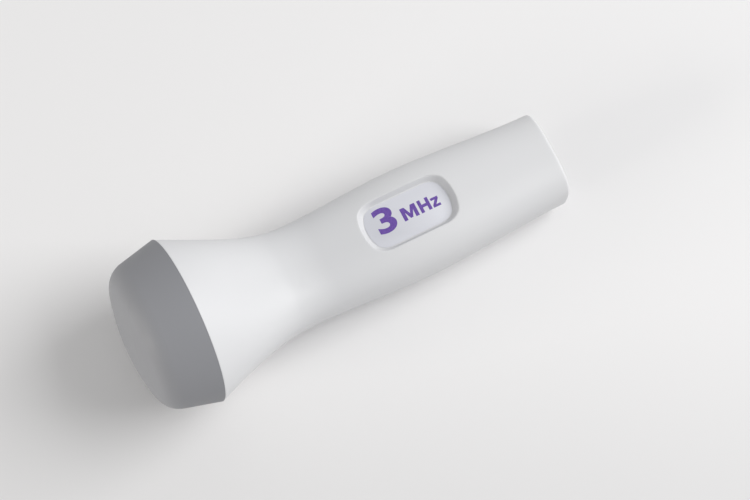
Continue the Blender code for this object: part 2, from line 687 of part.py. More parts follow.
def half_disc(radius, flat, side, front, back, steps=16):
    """A D-shaped slab about the head's axis, its flat side at a distance from the middle."""
    reach = math.acos(flat / radius)
    angles = [reach * (2 * step / steps - 1) for step in range(steps + 1)]
    outline = [(side * radius * math.cos(angle), radius * math.sin(angle)) for angle in angles]
    bm = bmesh.new()
    add_loft(bm, [[Vector((x, y, z)) for y, z in outline] for x in (front, back)])
    return bm


def make_transducer():
    """Two D-shaped crystals, one sends and one receives, each with its backing pad."""
    flat = DIVIDER_THICKNESS / 2 + FIT_GAP
    for role, side in (("transmit", 1), ("receive", -1)):
        crystal = half_disc(CRYSTAL_RADIUS, flat, side, CRYSTAL_FRONT_X, CRYSTAL_BACK_X)
        add_object(role + "_crystal", crystal, head_frame, CRYSTAL_SILVER)
        backing = half_disc(CRYSTAL_RADIUS, flat + LEAD_CHANNEL, side, BACKING_FRONT_X, BACKING_BACK_X)
        add_object(role + "_backing_pad", backing, head_frame, BACKING_FOAM)
    bm = bmesh.new()
    half = DIVIDER_THICKNESS / 2
    add_box(bm, (CRYSTAL_FRONT_X, -half, -CRYSTAL_RADIUS), (BACKING_BACK_X, half, CRYSTAL_RADIUS))
    add_object("crystal_divider", bm, head_frame, CORK)


def make_transducer_holder():
    """Ring round the crystals with a web behind them and a flange that the spigot presses on."""
    bore = CRYSTAL_RADIUS + FIT_GAP
    flange = cap_inside_radius(WEB_FRONT_X) - FIT_GAP
    profile = [(CRYSTAL_FRONT_X + FIT_GAP, bore), (CRYSTAL_FRONT_X + FIT_GAP, bore + HOLDER_WALL),
               (WEB_FRONT_X, bore + HOLDER_WALL), (WEB_FRONT_X, flange), (FLANGE_BACK_X, flange),
               (FLANGE_BACK_X, SPIGOT_INSIDE - FIT_GAP), (WEB_BACK_X, SPIGOT_INSIDE - FIT_GAP),
               (WEB_BACK_X, LEAD_HOLE_RADIUS), (WEB_FRONT_X, LEAD_HOLE_RADIUS), (WEB_FRONT_X, bore)]
    bm = bmesh.new()
    add_turned(bm, profile)
    add_object("transducer_holder", bm, head_frame, HOLDER_BLACK)


def make_shield_disc():
    """Copper disc on the holder's web that screens the crystals from the board."""
    front = WEB_BACK_X + FIT_GAP
    outer = SPIGOT_INSIDE - SHIELD_MARGIN
    inner = LEAD_HOLE_RADIUS
    back = front + SHIELD_THICKNESS
    bm = bmesh.new()
    add_turned(bm, [(front, inner), (front, outer), (back, outer), (back, inner)])
    add_object("shield_disc", bm, head_frame, COPPER_FOIL)


# Handle insides

def make_frequency_label():
    """Printed film on the floor of the pocket."""
    floor = pocket_levels()[1]
    bm = bmesh.new()
    bottom = floor + SEAL_GAP
    add_plate(bm, pocket_floor_outline(FIT_GAP), bottom, bottom + LABEL_THICKNESS)
    add_object("frequency_label", bm, handle_frame, LABEL_FILM)


def board_half_width():
    """Half of the board's width: as wide as the lower half allows along the board."""
    room = []
    for x in body_stations(BOARD_FRONT_X, BOARD_BACK_X):
        depth = (spine_height(x) - BOARD_BOTTOM) / inside_half_height(x)
        room.append(inside_half_width(x) * (1 - depth ** squareness(x)) ** (1 / squareness(x)))
    return min(room) - BOARD_SIDE_GAP


def make_circuit_board():
    """Long board that rests on the ribs, with a hole for the rear boss."""
    bm = bmesh.new()
    half = board_half_width()
    add_box(bm, (BOARD_FRONT_X, -half, BOARD_BOTTOM), (BOARD_BACK_X, half, BOARD_TOP))
    board = add_object("circuit_board", bm, handle_frame, BOARD_GREEN)
    bm = bmesh.new()
    add_cylinder(bm, REAR_BOSS_X, 0.0, BOARD_BOTTOM - OVERCUT, BOARD_TOP + OVERCUT, BOARD_HOLE_RADIUS)
    apply_tool(board, add_object("board_hole", bm, handle_frame), "DIFFERENCE")


def make_box_component(name, x, y, size, finish, corner=0.0):
    """A box-shaped component that stands on the board, its upright edges rounded by a corner."""
    bm = bmesh.new()
    add_standing_box(bm, x, y, BOARD_TOP + FIT_GAP, size)
    if corner:
        upright = [edge for edge in bm.edges if edge.verts[0].co.xy == edge.verts[1].co.xy]
        bmesh.ops.bevel(bm, geom=upright, offset=corner, offset_type="OFFSET", affect="EDGES",
                        segments=2, profile=0.5, material=-1)
    return add_object(name, bm, handle_frame, finish)


def make_lead_header():
    """Four-way header that the crystal leads plug into, open towards the head."""
    header = make_box_component("lead_header", HEADER_X, 0.0, HEADER_SIZE, HEADER_CREAM)
    length, width, height = HEADER_SIZE
    mouth = (length - HEADER_WALL + OVERCUT, width - 2 * HEADER_WALL, height - 2 * HEADER_WALL)
    front = HEADER_X - length / 2 - OVERCUT
    bm = bmesh.new()
    add_standing_box(bm, front + mouth[0] / 2, 0.0, BOARD_TOP + FIT_GAP + HEADER_WALL, mouth)
    apply_tool(header, add_object("header_mouth", bm, handle_frame), "DIFFERENCE")


def make_tuning_coils():
    """Two screened coils side by side, each with a hole for its tuning core in the top."""
    y = COIL_SIZE[1] / 2 + PAIR_GAP / 2
    top = BOARD_TOP + FIT_GAP + COIL_SIZE[2]
    for number, side in ((1, 1), (2, -1)):
        name = "tuning_coil_%d" % number
        coil = make_box_component(name, COIL_X, side * y, COIL_SIZE, CAN_STEEL, COIL_CORNER)
        bm = bmesh.new()
        add_cylinder(bm, COIL_X, side * y, top - COIL_CORE_DEPTH, top + OVERCUT, COIL_CORE_RADIUS, 12)
        apply_tool(coil, add_object(name + "_core_hole", bm, handle_frame), "DIFFERENCE")


def make_amplifiers():
    """Two eight-leg amplifier chips side by side, their legs bent down to the board."""
    length, width, height = AMPLIFIER_SIZE
    y = width / 2 + AMPLIFIER_LEG_REACH + PAIR_GAP / 2
    for name, side in (("transmit_amplifier", 1), ("receive_amplifier", -1)):
        chip = make_box_component(name, AMPLIFIER_X, side * y, AMPLIFIER_SIZE, CHIP_BLACK)
        legs = bmesh.new()
        for index in range(4):
            x = AMPLIFIER_X + (index - 1.5) * AMPLIFIER_LEG_PITCH
            for leg_side in (1, -1):
                add_amplifier_leg(legs, x, side * y, leg_side)
        apply_tool(chip, add_object(name + "_legs", legs, handle_frame), "UNION")


def add_amplifier_leg(bm, x, chip_y, side):
    """A leg that leaves the chip's side level and steps down to a foot on the board."""
    flank = AMPLIFIER_SIZE[1] / 2
    root = flank - AMPLIFIER_LEG_ROOT
    knee = flank + AMPLIFIER_LEG_REACH / 2
    toe = flank + AMPLIFIER_LEG_REACH
    thick = AMPLIFIER_LEG_THICKNESS
    foot = BOARD_TOP + FIT_GAP
    shoulder = foot + AMPLIFIER_SIZE[2] / 2
    profile = [(root, shoulder), (knee + thick, shoulder), (knee + thick, foot + thick), (toe, foot + thick),
               (toe, foot), (knee, foot), (knee, shoulder - thick), (root, shoulder - thick)]
    ends = (x - AMPLIFIER_LEG_WIDTH / 2, x + AMPLIFIER_LEG_WIDTH / 2)
    add_loft(bm, [[Vector((end, chip_y + side * y, z)) for y, z in profile] for end in ends])


def make_electrolytics():
    """Two round capacitors side by side in front of the rear boss."""
    y = board_half_width() - BOARD_MARGIN - ELECTROLYTIC_RADIUS
    bottom = BOARD_TOP + FIT_GAP
    top = bottom + ELECTROLYTIC_HEIGHT
    for number, side in ((1, 1), (2, -1)):
        bm = bmesh.new()
        add_cylinder(bm, ELECTROLYTIC_X, side * y, bottom, top, ELECTROLYTIC_RADIUS, 20)
        rim = [edge for edge in bm.edges if min(vert.co.z for vert in edge.verts) > top - ELECTROLYTIC_EDGE]
        bmesh.ops.bevel(bm, geom=rim, offset=ELECTROLYTIC_EDGE, offset_type="OFFSET", affect="EDGES",
                        segments=1, profile=0.5, material=-1)
        add_object("electrolytic_capacitor_%d" % number, bm, handle_frame, CAN_STEEL)


def make_chips():
    """Small chip capacitors and resistors: two pairs at the front edge, one by the jack."""
    front = BOARD_FRONT_X + BOARD_MARGIN + CHIP_SIZE[0] / 2
    by_jack = JACK_REAR_X - CONTACT_TAIL_ROOM - CHIP_SIZE[0] / 2
    edge = board_half_width() - BOARD_MARGIN / 2 - CHIP_SIZE[1] / 2
    places = [(front, edge - CHIP_STEP), (front, edge), (by_jack, edge)]
    for number, (x, y) in enumerate(places, 1):
        make_box_component("chip_capacitor_%d" % number, x, y, CHIP_SIZE, CERAMIC_TAN)
        make_box_component("chip_resistor_%d" % number, x, -y, CHIP_SIZE, CHIP_BLACK)


# Jack

def make_modular_jack():
    """Side-entry modular jack: plug cavity, stepped latch channel and contact slots."""
    half = JACK_WIDTH / 2
    bm = bmesh.new()
    add_box(bm, (JACK_REAR_X, -half, JACK_BOTTOM), (JACK_FRONT_X, half, JACK_TOP))
    jack = add_object("modular_jack", bm, handle_frame, CHIP_BLACK)

    back = JACK_FRONT_X - PLUG_DEPTH
    slot_top = PLUG_TOP + CONTACT_SLOT_HEIGHT
    slot_half = (CONTACT_COUNT - 1) * CONTACT_PITCH / 2 + CONTACT_DIAMETER / 2 + FIT_GAP
    mouth = [(-PLUG_WIDTH / 2, PLUG_BOTTOM), (-LATCH_WIDTH / 2, PLUG_BOTTOM),
             (-LATCH_WIDTH / 2, PLUG_BOTTOM - LATCH_DEPTH), (LATCH_WIDTH / 2, PLUG_BOTTOM - LATCH_DEPTH),
             (LATCH_WIDTH / 2, PLUG_BOTTOM), (PLUG_WIDTH / 2, PLUG_BOTTOM), (PLUG_WIDTH / 2, PLUG_TOP),
             (slot_half, PLUG_TOP), (slot_half, slot_top), (-slot_half, slot_top),
             (-slot_half, PLUG_TOP), (-PLUG_WIDTH / 2, PLUG_TOP)]
    bm = bmesh.new()
    add_loft(bm, [[Vector((x, y, z)) for y, z in mouth] for x in (back, JACK_FRONT_X + OVERCUT)])
    apply_tool(jack, add_object("plug_cavity", bm, handle_frame), "DIFFERENCE")

    bm = bmesh.new()
    add_box(bm, (JACK_REAR_X - OVERCUT, -slot_half, PLUG_TOP), (back + OVERCUT, slot_half, slot_top))
    apply_tool(jack, add_object("contact_slot", bm, handle_frame), "DIFFERENCE")


def make_jack_contacts():
    """Spring wires: sloped in the cavity, folded at the mouth, then along the roof to the board."""
    roof = PLUG_TOP + CONTACT_SLOT_HEIGHT / 2
    fold = JACK_FRONT_X - CONTACT_SETBACK
    rear = JACK_REAR_X - FIT_GAP - CONTACT_DIAMETER / 2
    bend = CONTACT_BEND
    route = [(fold - CONTACT_SPRING_RUN, roof - CONTACT_SPRING_DROP), (fold - bend, roof - bend),
             (fold, roof - 0.75 * bend), (fold, roof - 0.25 * bend), (fold - bend, roof),
             (rear + bend, roof), (rear, roof - bend), (rear, BOARD_TOP + FIT_GAP)]
    for number in range(CONTACT_COUNT):
        y = (number - (CONTACT_COUNT - 1) / 2) * CONTACT_PITCH
        points = [Vector((x, y, z)) for x, z in route]
        add_wire("jack_contact_%d" % (number + 1), points, CONTACT_DIAMETER, handle_frame, CONTACT_GOLD)


def add_wire(name, points, diameter, parent, finish):
    """A round wire along a run of points, closed at both ends."""
    curve = bpy.data.curves.new(name, "CURVE")
    curve.dimensions = "3D"
    curve.bevel_depth = diameter / 2
    curve.bevel_resolution = WIRE_SIDES_RESOLUTION
    curve.use_fill_caps = True
    spline = curve.splines.new("POLY")
    spline.points.add(len(points) - 1)
    for point, place in zip(spline.points, points):
        point.co = (*place, 1.0)
    curve.materials.append(make_material(name, finish))
    wire = bpy.data.objects.new(name, curve)
    bpy.context.collection.objects.link(wire)
    wire.parent = parent
    return wire


def smooth_run(start, leave, end, arrive):
    """Points of a smooth run that leaves one place and arrives at another in given directions."""
    pull = (end - start).length / 3
    pull_start = start + leave * pull
    pull_end = end - arrive * pull
    points = []
    for step in range(LEAD_BEND_STEPS + 1):
        t = step / LEAD_BEND_STEPS
        points.append(start * (1 - t)**3 + pull_start * 3 * t * (1 - t)**2
                      + pull_end * 3 * t**2 * (1 - t) + end * t**3)
    return points


def make_crystal_leads():
    """Two leads from each crystal, through the holder's hole and past the front boss to the header."""
    channel = DIVIDER_THICKNESS / 2 + FIT_GAP + LEAD_DIAMETER
    passing = BOSS_RADIUS + BOSS_PASSING_GAP + LEAD_DIAMETER / 2
    pin_x = HEADER_X - HEADER_SIZE[0] / 2 + HEADER_PLUGGED_DEPTH
    pin_z = BOARD_TOP + FIT_GAP + HEADER_SIZE[2] / 2
    into_handle = Matrix.Translation((0.0, 0.0, HEAD_RISE)) @ Matrix.Rotation(HEAD_TILT, 4, "Y")
    leads = [("transmit_lead_live", 1, 1, LEAD_RED), ("transmit_lead_return", 1, -1, LEAD_BLACK),
             ("receive_lead_live", -1, 1, LEAD_WHITE), ("receive_lead_return", -1, -1, LEAD_BLUE)]
    for number, (name, side, level, finish) in enumerate(leads):
        y = side * channel
        z = level * LEAD_SPREAD / 2
        solder = into_handle @ Vector((CRYSTAL_BACK_X + FIT_GAP, y, z))
        through = into_handle @ Vector((FLANGE_BACK_X, y, z))
        beside = Vector((FRONT_BOSS_X, side * passing, pin_z + z))
        pin_y = ((len(leads) - 1) / 2 - number) * HEADER_PITCH
        pin = Vector((pin_x, pin_y, pin_z))
        leave = (through - solder).normalized()
        forward = Vector((1.0, 0.0, 0.0))
        points = [solder] + smooth_run(through, leave, beside, forward)
        points += smooth_run(beside, forward, pin, forward)[1:]
        add_wire(name, points, LEAD_DIAMETER, handle_frame, finish)


# Screws

def make_housing_screw(name, x):
    """Pan-head screw with a crossed drive, driven up from the underside."""
    seat = counterbore_seat(x) - FIT_GAP
    tip = spine_height(x) + SCREW_ENGAGEMENT
    head = seat - SCREW_HEAD_HEIGHT
    shank = SCREW_SHANK_RADIUS
    profile = [(head, 0.0), (head, SCREW_HEAD_RADIUS - SCREW_HEAD_EDGE),
               (head + SCREW_HEAD_EDGE, SCREW_HEAD_RADIUS), (seat, SCREW_HEAD_RADIUS), (seat, shank),
               (tip - shank, shank), (tip, SCREW_POINT_RADIUS), (tip, 0.0)]
    upright = Matrix.Translation((x, 0.0, 0.0)) @ Matrix.Rotation(-math.pi / 2, 4, "Y")
    bm = bmesh.new()
    add_turned(bm, profile, 16)
    bmesh.ops.transform(bm, matrix=upright, verts=bm.verts)
    screw = add_object(name, bm, handle_frame, SCREW_STEEL)
    long_half = DRIVE_SLOT_LENGTH / 2
    short_half = DRIVE_SLOT_WIDTH / 2
    quarter = [(long_half, -short_half), (long_half, short_half), (short_half, short_half)]
    outline = []
    for turn in range(4):
        rotation = Matrix.Rotation(math.pi / 2 * turn, 2)
        outline += [rotation @ Vector(corner) for corner in quarter]
    bm = bmesh.new()
    add_plate(bm, [(x + point.x, point.y) for point in outline], head - OVERCUT, head + DRIVE_SLOT_DEPTH)
    apply_tool(screw, add_object(name + "_drive", bm, handle_frame), "DIFFERENCE")


# Whole probe

def add_frames():
    """Empties for the handle and for the raised, tilted head."""
    global handle_frame, head_frame
    handle_frame = bpy.data.objects.new("handle_frame", None)
    head_frame = bpy.data.objects.new("head_frame", None)
    for frame in (handle_frame, head_frame):
        bpy.context.collection.objects.link(frame)
    head_frame.parent = handle_frame
    head_frame.location = (0.0, 0.0, HEAD_RISE)
    head_frame.rotation_euler = (0.0, HEAD_TILT, 0.0)


def lay_down():
    """Rest the probe on the cap's rim and the tail's edge, and centre it over the origin."""
    rim_x = -FIT_GAP - HEAD_RADIUS * math.sin(HEAD_TILT)
    rim_z = HEAD_RISE - HEAD_RADIUS * math.cos(HEAD_TILT)
    tail_x = BODY_LENGTH - TAIL_EDGE_RADIUS
    lean = math.atan2(-TAIL_HALF_HEIGHT - rim_z, tail_x - rim_x)
    handle_frame.rotation_euler = (0.0, lean, 0.0)
    bpy.context.view_layer.update()
    pieces = [item for item in bpy.data.objects if item.type == "MESH" and not item.hide_render]
    corners = [item.matrix_world @ vert.co for item in pieces for vert in item.data.vertices]
    middle = (min(point.x for point in corners) + max(point.x for point in corners)) / 2
    handle_frame.location = (-middle, 0.0, -min(point.z for point in corners))


def build():
    for item in list(bpy.data.objects):
        bpy.data.objects.remove(item, do_unlink=True)
    add_frames()
    upper = housing_half("upper_housing", 1)
    add_label_pocket(upper)
    add_upper_details(upper)
    lower = housing_half("lower_housing", -1)
    add_lower_details(lower)
    make_head_cap()
    make_cap_seal()
    make_transducer()
    make_transducer_holder()
    make_shield_disc()
    make_frequency_label()
    make_circuit_board()
    make_lead_header()
    make_box_component("shield_can", SHIELD_CAN_X, 0.0, SHIELD_CAN_SIZE, CAN_STEEL, SHIELD_CAN_CORNER)
    make_tuning_coils()
    make_amplifiers()
    make_box_component("crystal_oscillator", OSCILLATOR_X, 0.0, OSCILLATOR_SIZE, CAN_STEEL, OSCILLATOR_CORNER)
    make_electrolytics()
    make_chips()
    make_modular_jack()
    make_jack_contacts()
    make_crystal_leads()
    make_housing_screw("housing_screw_front", FRONT_BOSS_X)
    make_housing_screw("housing_screw_rear", REAR_BOSS_X)
    lay_down()


build()
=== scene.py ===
# %% [markdown]
# # A hand-held doppler probe
#
# The probe is a moulded white handle that flares to a round head, with a grey cap over the
# transducer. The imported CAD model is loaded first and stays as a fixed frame. The outer mouldings
# are then made again with far finer surfaces in the same places, and everything gets a finish.

import json
import math

import bmesh
import bpy
from mathutils import Matrix, Vector

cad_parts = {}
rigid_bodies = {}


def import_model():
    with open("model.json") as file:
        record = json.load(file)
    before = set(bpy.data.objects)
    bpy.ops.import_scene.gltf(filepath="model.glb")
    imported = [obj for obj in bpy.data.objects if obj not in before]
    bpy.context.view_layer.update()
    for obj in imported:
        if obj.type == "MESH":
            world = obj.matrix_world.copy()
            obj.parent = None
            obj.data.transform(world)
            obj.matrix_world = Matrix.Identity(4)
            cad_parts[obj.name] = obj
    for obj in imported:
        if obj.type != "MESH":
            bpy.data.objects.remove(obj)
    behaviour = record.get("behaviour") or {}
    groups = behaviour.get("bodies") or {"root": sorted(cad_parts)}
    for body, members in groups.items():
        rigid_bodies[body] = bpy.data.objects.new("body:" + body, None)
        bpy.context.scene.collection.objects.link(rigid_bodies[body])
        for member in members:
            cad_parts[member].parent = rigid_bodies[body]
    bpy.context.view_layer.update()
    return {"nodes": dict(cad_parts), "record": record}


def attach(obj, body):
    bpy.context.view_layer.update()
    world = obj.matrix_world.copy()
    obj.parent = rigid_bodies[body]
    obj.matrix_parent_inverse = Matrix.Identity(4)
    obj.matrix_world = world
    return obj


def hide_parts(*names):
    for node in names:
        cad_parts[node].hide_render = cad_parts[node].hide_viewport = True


for leftover in list(bpy.data.objects):
    bpy.data.objects.remove(leftover)
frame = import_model()
MM = 0.001
print("nodes:", len(frame["nodes"]))

# %% [markdown]
# ## The camera
#
# A product photograph like this one is taken from above and a little to the side, with a long lens
# so that the near end of the handle looks no bigger than the far end. The camera is described the
# way a photographer would: the point it looks at, its direction and height, and its distance.

# %% Place the camera
IMAGE_TURN = math.radians(26.82)
FROM_VERTICAL = math.radians(16.0)
DISTANCE = 0.4374
FOCUS = Vector((6.2 * MM, 0.0, 12.0 * MM))
UP_Z = Vector((0.0, 0.0, 1.0))

towards_viewer = Vector((-math.sin(IMAGE_TURN), -math.cos(IMAGE_TURN), 0.0))
sight = math.sin(FROM_VERTICAL) * towards_viewer + math.cos(FROM_VERTICAL) * UP_Z
right = Vector((math.cos(IMAGE_TURN), -math.sin(IMAGE_TURN), 0.0))
up = sight.cross(right)
camera_place = FOCUS + sight * DISTANCE
aim = FOCUS + right * 2.0 * MM - up * 1.6 * MM
back = (camera_place - aim).normalized()
camera_right = up.cross(back).normalized()
camera_up = back.cross(camera_right)

camera_data = bpy.data.cameras.new("studio_camera")
camera_data.lens = 90.0
camera_data.sensor_width = 36.0
camera_data.clip_start = 0.01
camera = bpy.data.objects.new("studio_camera", camera_data)
bpy.context.collection.objects.link(camera)
camera.matrix_world = Matrix.Translation(camera_place) @ Matrix(
    (camera_right, camera_up, back)).transposed().to_4x4()
bpy.context.scene.camera = camera
bpy.context.scene.view_settings.view_transform = "Standard"
print("camera height:", round(camera_place.z, 3))

# %% [markdown]
# ## Light
#
# White things are lit with a large soft lamp and a bright room, so that their shape shows by gentle
# shading and nothing burns out. The key lamp hangs high to the right of the picture, which puts the
# soft shadow beside the head, at the left. A weak warm lamp low at the left stands for light that a
# wall throws back: it lifts the cap's face out of its shade and leaves the recess's end wall dark.

# %% Hang the lamps
LIT_POINT = Vector((0.0, 0.0, 10.0 * MM))


def hang_lamp(name, level, height, distance, size, watts, colour):
    """A square soft lamp in a level direction, at an angle of height, turned to the probe."""
    data = bpy.data.lights.new(name, "AREA")
    data.size = size
    data.energy = watts
    data.color = colour
    lamp = bpy.data.objects.new(name, data)
    bpy.context.collection.objects.link(lamp)
    place = distance * (math.cos(height) * level + math.sin(height) * UP_Z)
    facing = (LIT_POINT - place).to_track_quat("-Z", "Y")
    lamp.matrix_world = Matrix.Translation(place) @ facing.to_matrix().to_4x4()


KEY_SIDE = math.radians(14.5)
key_level = math.cos(KEY_SIDE) * right - math.sin(KEY_SIDE) * towards_viewer
hang_lamp("key_lamp", key_level, height=math.radians(41.0), distance=1.2, size=0.9, watts=12.15,
          colour=(1.0, 0.998, 0.995))
fill_level = (0.45 * towards_viewer - 0.89 * right).normalized()
hang_lamp("fill_lamp", fill_level, height=math.radians(12.5), distance=1.0, size=0.42, watts=5.1,
          colour=(1.0, 0.965, 0.90))

world = bpy.data.worlds.new("studio_room")
bpy.context.scene.world = world
world.use_nodes = True
room = world.node_tree.nodes["Background"]
room.inputs["Color"].default_value = (0.985, 0.99, 1.0, 1.0)
room.inputs["Strength"].default_value = 0.425
print("lamps:", sorted(lamp.name for lamp in bpy.data.lights))

# %% [markdown]
# ## The table
#
# The table is a plain pale sheet, painted and slightly uneven. Its colour is also darkened by about a tenth
# towards the viewer. That is painted shade, standing for the lamps' light falling off, as it does away from a
# window. The helpers that every material needs come first: an empty material, coordinates that stay with the
# object, noise, a soft ramp and a blend.

# %% Helpers for materials
def new_material(name):
    """An empty node material with its Principled shader."""
    material = bpy.data.materials.new(name)
    material.use_nodes = True
    return material, material.node_tree, material.node_tree.nodes["Principled BSDF"]


def object_coordinates(tree, place=(0, 0, 0), turn=(0, 0, 0), scale=(1, 1, 1)):
    """Object coordinates through a Mapping node, so that a pattern can be placed and turned."""
    source = tree.nodes.new("ShaderNodeTexCoord")
    mapping = tree.nodes.new("ShaderNodeMapping")
    mapping.inputs["Location"].default_value = place
    mapping.inputs["Rotation"].default_value = turn
    mapping.inputs["Scale"].default_value = scale
    tree.links.new(source.outputs["Object"], mapping.inputs["Vector"])
    return mapping.outputs["Vector"]


def add_noise(tree, vector, scale, detail=2.0, roughness=0.5):
    """A noise texture on a vector, with its scale as a number or another socket."""
    noise = tree.nodes.new("ShaderNodeTexNoise")
    noise.inputs["Detail"].default_value = detail
    noise.inputs["Roughness"].default_value = roughness
    tree.links.new(vector, noise.inputs["Vector"])
    if isinstance(scale, (int, float)):
        noise.inputs["Scale"].default_value = scale
    else:
        tree.links.new(scale, noise.inputs["Scale"])
    return noise.outputs["Fac"]


def add_ramp(tree, value, low, high, to_low=0.0, to_high=1.0):
    """Stretch a range of values to another range, smoothly and clamped."""
    node = tree.nodes.new("ShaderNodeMapRange")
    node.interpolation_type = "SMOOTHSTEP"
    for label, number in (("From Min", low), ("From Max", high), ("To Min", to_low), ("To Max", to_high)):
        node.inputs[label].default_value = number
    tree.links.new(value, node.inputs["Value"])
    return node.outputs["Result"]


def mix_colour(tree, share, first, second):
    """Blend two colours by a mask."""
    node = tree.nodes.new("ShaderNodeMix")
    node.data_type = "RGBA"
    node.inputs["A"].default_value = (*first, 1.0)
    node.inputs["B"].default_value = (*second, 1.0)
    tree.links.new(share, node.inputs["Factor"])
    return node.outputs["Result"]


# %% Lay the table
TABLE_SIZE = 3.0
TABLE_DROP = 0.02 * MM
# Painted shade: the table's colour is scaled down towards the viewer, to 0.88 at the near end, for light that
# falls off away from the lamps.
PAINTED_SHADE_FALLOFF = {"low": -75 * MM, "high": 5 * MM, "to_low": 0.88}
table_mesh = bpy.data.meshes.new("table_top")
bm = bmesh.new()
bmesh.ops.create_grid(bm, x_segments=1, y_segments=1, size=TABLE_SIZE / 2,
                      matrix=Matrix.Translation((0.0, 0.0, -TABLE_DROP)))
bm.to_mesh(table_mesh)
bm.free()
table = bpy.data.objects.new("table_top", table_mesh)
bpy.context.collection.objects.link(table)

material, tree, shader = new_material("table_paint")
cloud = add_noise(tree, object_coordinates(tree), 6.0)
tone = mix_colour(tree, cloud, (0.836, 0.830, 0.832), (0.846, 0.842, 0.846))
# Painted shade: the blended table colour is scaled by this ramp, so it is darker towards the viewer.
towards_camera = tree.nodes.new("ShaderNodeSeparateXYZ")
tree.links.new(object_coordinates(tree, turn=(0.0, 0.0, IMAGE_TURN)), towards_camera.inputs["Vector"])
painted_shade_ramp = add_ramp(tree, towards_camera.outputs["Y"], **PAINTED_SHADE_FALLOFF)
shaded = tree.nodes.new("ShaderNodeVectorMath")
shaded.operation = "SCALE"
tree.links.new(tone, shaded.inputs[0])
tree.links.new(painted_shade_ramp, shaded.inputs["Scale"])
tree.links.new(shaded.outputs["Vector"], shader.inputs["Base Color"])
shader.inputs["Roughness"].default_value = 0.6
shader.inputs["Specular IOR Level"].default_value = 0.3
table.data.materials.append(material)
print("table:", TABLE_SIZE, "m")

# %% [markdown]
# ## Shared effects
#
# Moulded plastic is never perfectly even. The mould's surface leaves a very fine grain, wide areas
# of the wall sink by hundredths of a millimetre as it cools, and hands leave faint smudges and a
# few hairline scratches. Each effect is a node group that gives a height or a mask, so that every
# material can use it in its own strength.

# %% Node groups for grain and handling
def new_group(name, inputs, outputs):
    """A shader node group with float inputs and outputs, and its two end nodes."""
    group = bpy.data.node_groups.new(name, "ShaderNodeTree")
    group.interface.new_socket("Vector", in_out="INPUT", socket_type="NodeSocketVector")
    for label, value in inputs:
        socket = group.interface.new_socket(label, in_out="INPUT", socket_type="NodeSocketFloat")
        socket.default_value = value
    for label in outputs:
        group.interface.new_socket(label, in_out="OUTPUT", socket_type="NodeSocketFloat")
    return group, group.nodes.new("NodeGroupInput"), group.nodes.new("NodeGroupOutput")


def add_math(tree, operation, first, second):
    """A Math node whose two inputs are numbers or sockets."""
    node = tree.nodes.new("ShaderNodeMath")
    node.operation = operation
    for socket, value in zip(node.inputs, (first, second)):
        if isinstance(value, (int, float)):
            socket.default_value = value
        else:
            tree.links.new(value, socket)
    return node.outputs["Value"]


mould_grain, ends_in, ends_out = new_group("mould_grain", [("Grain per metre", 2600.0)], ["Height", "Sink"])
fine = add_noise(mould_grain, ends_in.outputs["Vector"], ends_in.outputs["Grain per metre"], 3.0, 0.6)
wide = add_noise(mould_grain, ends_in.outputs["Vector"], 45.0, 1.0)
mould_grain.links.new(fine, ends_out.inputs["Height"])
mould_grain.links.new(wide, ends_out.inputs["Sink"])

handling, ends_in, ends_out = new_group("handling", [("Smudges per metre", 130.0)], ["Smudge", "Scratch"])
smudge = add_noise(handling, ends_in.outputs["Vector"], ends_in.outputs["Smudges per metre"], 4.0, 0.55)
handling.links.new(add_ramp(handling, smudge, 0.45, 0.68), ends_out.inputs["Smudge"])
scratch_lines = handling.nodes.new("ShaderNodeTexWave")
scratch_lines.inputs["Scale"].default_value = 38.0
scratch_lines.inputs["Distortion"].default_value = 14.0
scratch_lines.inputs["Detail"].default_value = 3.0
scratch_lines.inputs["Detail Scale"].default_value = 0.7
handling.links.new(ends_in.outputs["Vector"], scratch_lines.inputs["Vector"])
hairline = add_ramp(handling, scratch_lines.outputs["Fac"], 0.992, 0.9995)
patches = add_ramp(handling, add_noise(handling, ends_in.outputs["Vector"], 70.0, 1.0), 0.56, 0.66)
handling.links.new(add_math(handling, "MULTIPLY", hairline, patches), ends_out.inputs["Scratch"])
print("groups:", [group.name for group in bpy.data.node_groups])

# %% [markdown]
# ## Moulded plastics
#
# White and grey ABS, the jack's nylon and the holder are all moulded, and differ only in colour,
# gloss and grain. One function makes them: the colour wanders by a percent or two, smudges make it
# a little glossier, hairlines a little rougher, and the grain bends the light through a Bump node.

# %% Make the moulded plastics
def use_group(tree, group, vector, **values):
    """Place a node group on a vector with its own values."""
    node = tree.nodes.new("ShaderNodeGroup")
    node.node_tree = group
    tree.links.new(vector, node.inputs["Vector"])
    for label, value in values.items():
        node.inputs[label.replace("_", " ")].default_value = value
    return node.outputs


def add_bump(tree, shader, height, depth):
    """Bend the surface by a height of a given depth in metres."""
    bump = tree.nodes.new("ShaderNodeBump")
    bump.inputs["Strength"].default_value = 1.0
    bump.inputs["Distance"].default_value = depth
    tree.links.new(height, bump.inputs["Height"])
    tree.links.new(bump.outputs["Normal"], shader.inputs["Normal"])


def moulded_plastic(name, colour, shade, gloss, grain=2600.0, depth=0.004 * MM):
    """Moulded plastic: a colour and its darker shade, a roughness and the grain of its mould."""
    material, tree, shader = new_material(name)
    vector = object_coordinates(tree)
    grain_out = use_group(tree, mould_grain, vector, Grain_per_metre=grain)
    marks = use_group(tree, handling, vector)
    tree.links.new(mix_colour(tree, grain_out["Sink"], colour, shade), shader.inputs["Base Color"])
    softer = add_math(tree, "MULTIPLY_ADD", marks["Smudge"], -0.05)
    softer.node.inputs[2].default_value = gloss
    rougher = add_math(tree, "MULTIPLY_ADD", marks["Scratch"], 0.12)
    tree.links.new(softer, rougher.node.inputs[2])
    tree.links.new(rougher, shader.inputs["Roughness"])
    add_bump(tree, shader, grain_out["Height"], depth)
    return material


